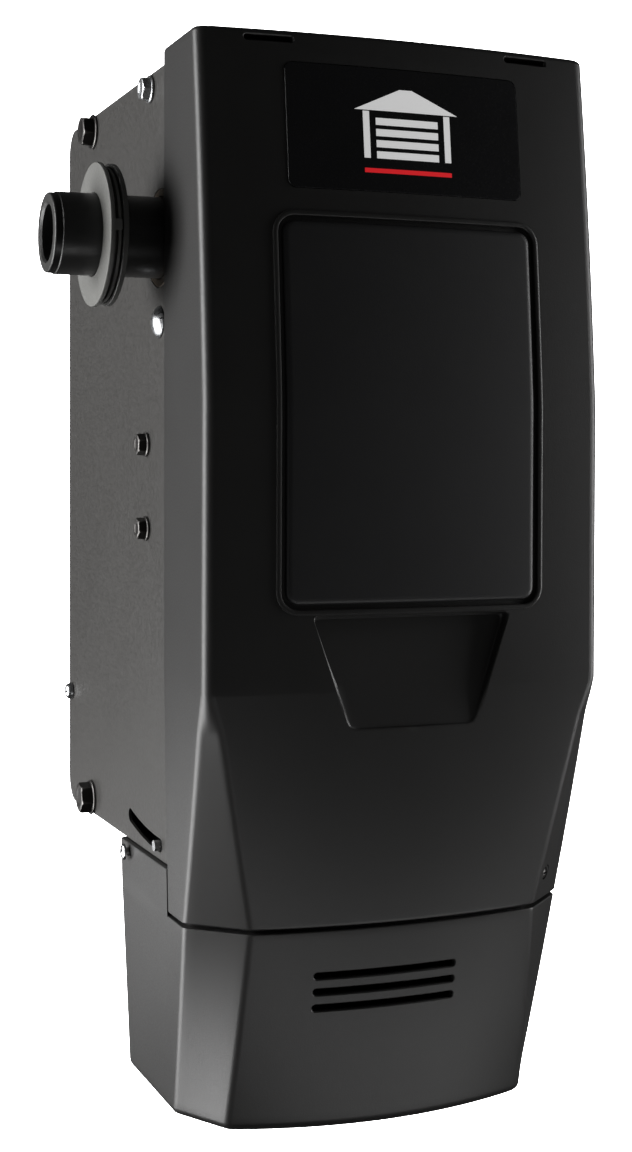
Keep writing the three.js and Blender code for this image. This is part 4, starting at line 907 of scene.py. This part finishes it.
def banded(name, look_a, look_b, axis, limits, rough, stripes):
    """Two colours divided by a place along an axis, over fine printed or stacked lines."""
    look = finish(name, *look_a, rough, 900, 0.00003)
    nodes = look.node_tree.nodes
    links = look.node_tree.links
    shader = nodes["Principled BSDF"]
    where = nodes.new("ShaderNodeTexCoord")
    lines = nodes.new("ShaderNodeTexWave")
    lines.inputs["Scale"].default_value = stripes
    lines.inputs["Distortion"].default_value = 1.5
    links.new(where.outputs["Object"], lines.inputs["Vector"])
    shade = nodes.new("ShaderNodeMixRGB")
    shade.blend_type = "MULTIPLY"
    shade.inputs["Fac"].default_value = 0.35
    links.new(shader.inputs["Base Color"].links[0].from_socket, shade.inputs["Color1"])
    links.new(lines.outputs["Color"], shade.inputs["Color2"])
    parts = nodes.new("ShaderNodeSeparateXYZ")
    links.new(where.outputs["Object"], parts.inputs["Vector"])
    inside = nodes.new("ShaderNodeMath")
    inside.operation = "COMPARE"
    inside.inputs[1].default_value = sum(limits) / 2 * 0.001
    inside.inputs[2].default_value = (limits[1] - limits[0]) / 2 * 0.001
    links.new(parts.outputs[axis], inside.inputs[0])
    mixed = nodes.new("ShaderNodeMixRGB")
    mixed.inputs["Color1"].default_value = (*look_b, 1)
    links.new(inside.outputs["Value"], mixed.inputs["Fac"])
    links.new(shade.outputs["Color"], mixed.inputs["Color2"])
    links.new(mixed.outputs["Color"], shader.inputs["Base Color"])
    return look


board_look = banded(
    "board and parts", ((0.015, 0.11, 0.045), (0.03, 0.16, 0.06)), (0.02, 0.02, 0.022), "Z",
    (-389.9, -388.1), (0.3, 0.45), 260)
coil_look = banded(
    "laminations and tape", ((0.1, 0.1, 0.105), (0.18, 0.18, 0.185)), (0.55, 0.42, 0.08), "Y",
    (-112.2, -59.8), (0.4, 0.55), 320)
terminal_plastic = finish(
    "terminal plastic", (0.22, 0.24, 0.26), (0.27, 0.29, 0.31), (0.5, 0.6), 1300, 0.00003)
dress("circuit_board", board_look)
dress("transformer", coil_look, 0.6)
dress("terminal_block", terminal_plastic)

# ---- Floor and light -----------------------------------------------------------------
# A pale matt floor well below the opener and a bright backdrop, as in a small product
# studio. A wide soft light stands to its left, and four weaker ones lift the lower side,
# the front, the right edge and the front left edge.

ground = bpy.data.meshes.new("floor")
ground.from_pydata([(-6, -6, -0.75), (6, -6, -0.75), (6, 6, -0.75), (-6, 6, -0.75)], [], [(0, 1, 2, 3)])
floor = bpy.data.objects.new("floor", ground)
bpy.context.scene.collection.objects.link(floor)
floor_paint = finish("floor paint", (0.8, 0.8, 0.8), (0.82, 0.82, 0.82), (0.8, 0.9), 40, 0.0001)
floor_paint.node_tree.nodes["Principled BSDF"].inputs["Emission Color"].default_value = (1, 1, 1, 1)
floor_paint.node_tree.nodes["Principled BSDF"].inputs["Emission Strength"].default_value = 6
floor.data.materials.append(floor_paint)
floor.visible_diffuse = False
floor.visible_glossy = False


def soft_light(name, place, aim, size, watts):
    lamp = bpy.data.objects.new(name, bpy.data.lights.new(name, "AREA"))
    lamp.data.shape = "RECTANGLE"
    lamp.data.size = size[0]
    lamp.data.size_y = size[1]
    lamp.data.energy = watts
    lamp.location = place
    lamp.rotation_euler = (Vector(aim) - Vector(place)).to_track_quat("-Z", "Y").to_euler()
    lamp.visible_camera = False
    bpy.context.scene.collection.objects.link(lamp)


soft_light("left light", (-1.5, 0.32, -0.3), (0, -0.15, -0.16), (1.2, 2.2), 70)
soft_light("low rear light", (-0.75, 0.95, -0.6), (-0.08, -0.15, -0.38), (0.5, 0.25), 1)
soft_light("low front light", (0.15, -0.68, -0.74), (0.02, -0.25, -0.37), (1.0, 0.25), 1.3)
soft_light("right light", (1.6, -0.6, -0.1), (0, -0.2, -0.16), (0.5, 1.4), 16)
soft_light("front left strip", (-1.1, -0.7, -0.6), (-0.05, -0.22, -0.32), (0.15, 0.6), 0.7)

studio = bpy.data.worlds.new("studio")
studio.use_nodes = True
bpy.context.scene.world = studio
air = studio.node_tree
air.nodes["Background"].inputs["Color"].default_value = (1, 1, 1, 1)
air.nodes["Background"].inputs["Strength"].default_value = 0.032
bright = air.nodes.new("ShaderNodeBackground")
bright.inputs["Strength"].default_value = 6
ray = air.nodes.new("ShaderNodeLightPath")
either = air.nodes.new("ShaderNodeMixShader")
air.links.new(ray.outputs["Is Camera Ray"], either.inputs[0])
air.links.new(air.nodes["Background"].outputs[0], either.inputs[1])
air.links.new(bright.outputs[0], either.inputs[2])
air.links.new(either.outputs[0], air.nodes["World Output"].inputs["Surface"])
bpy.context.scene.view_settings.view_transform = "Standard"
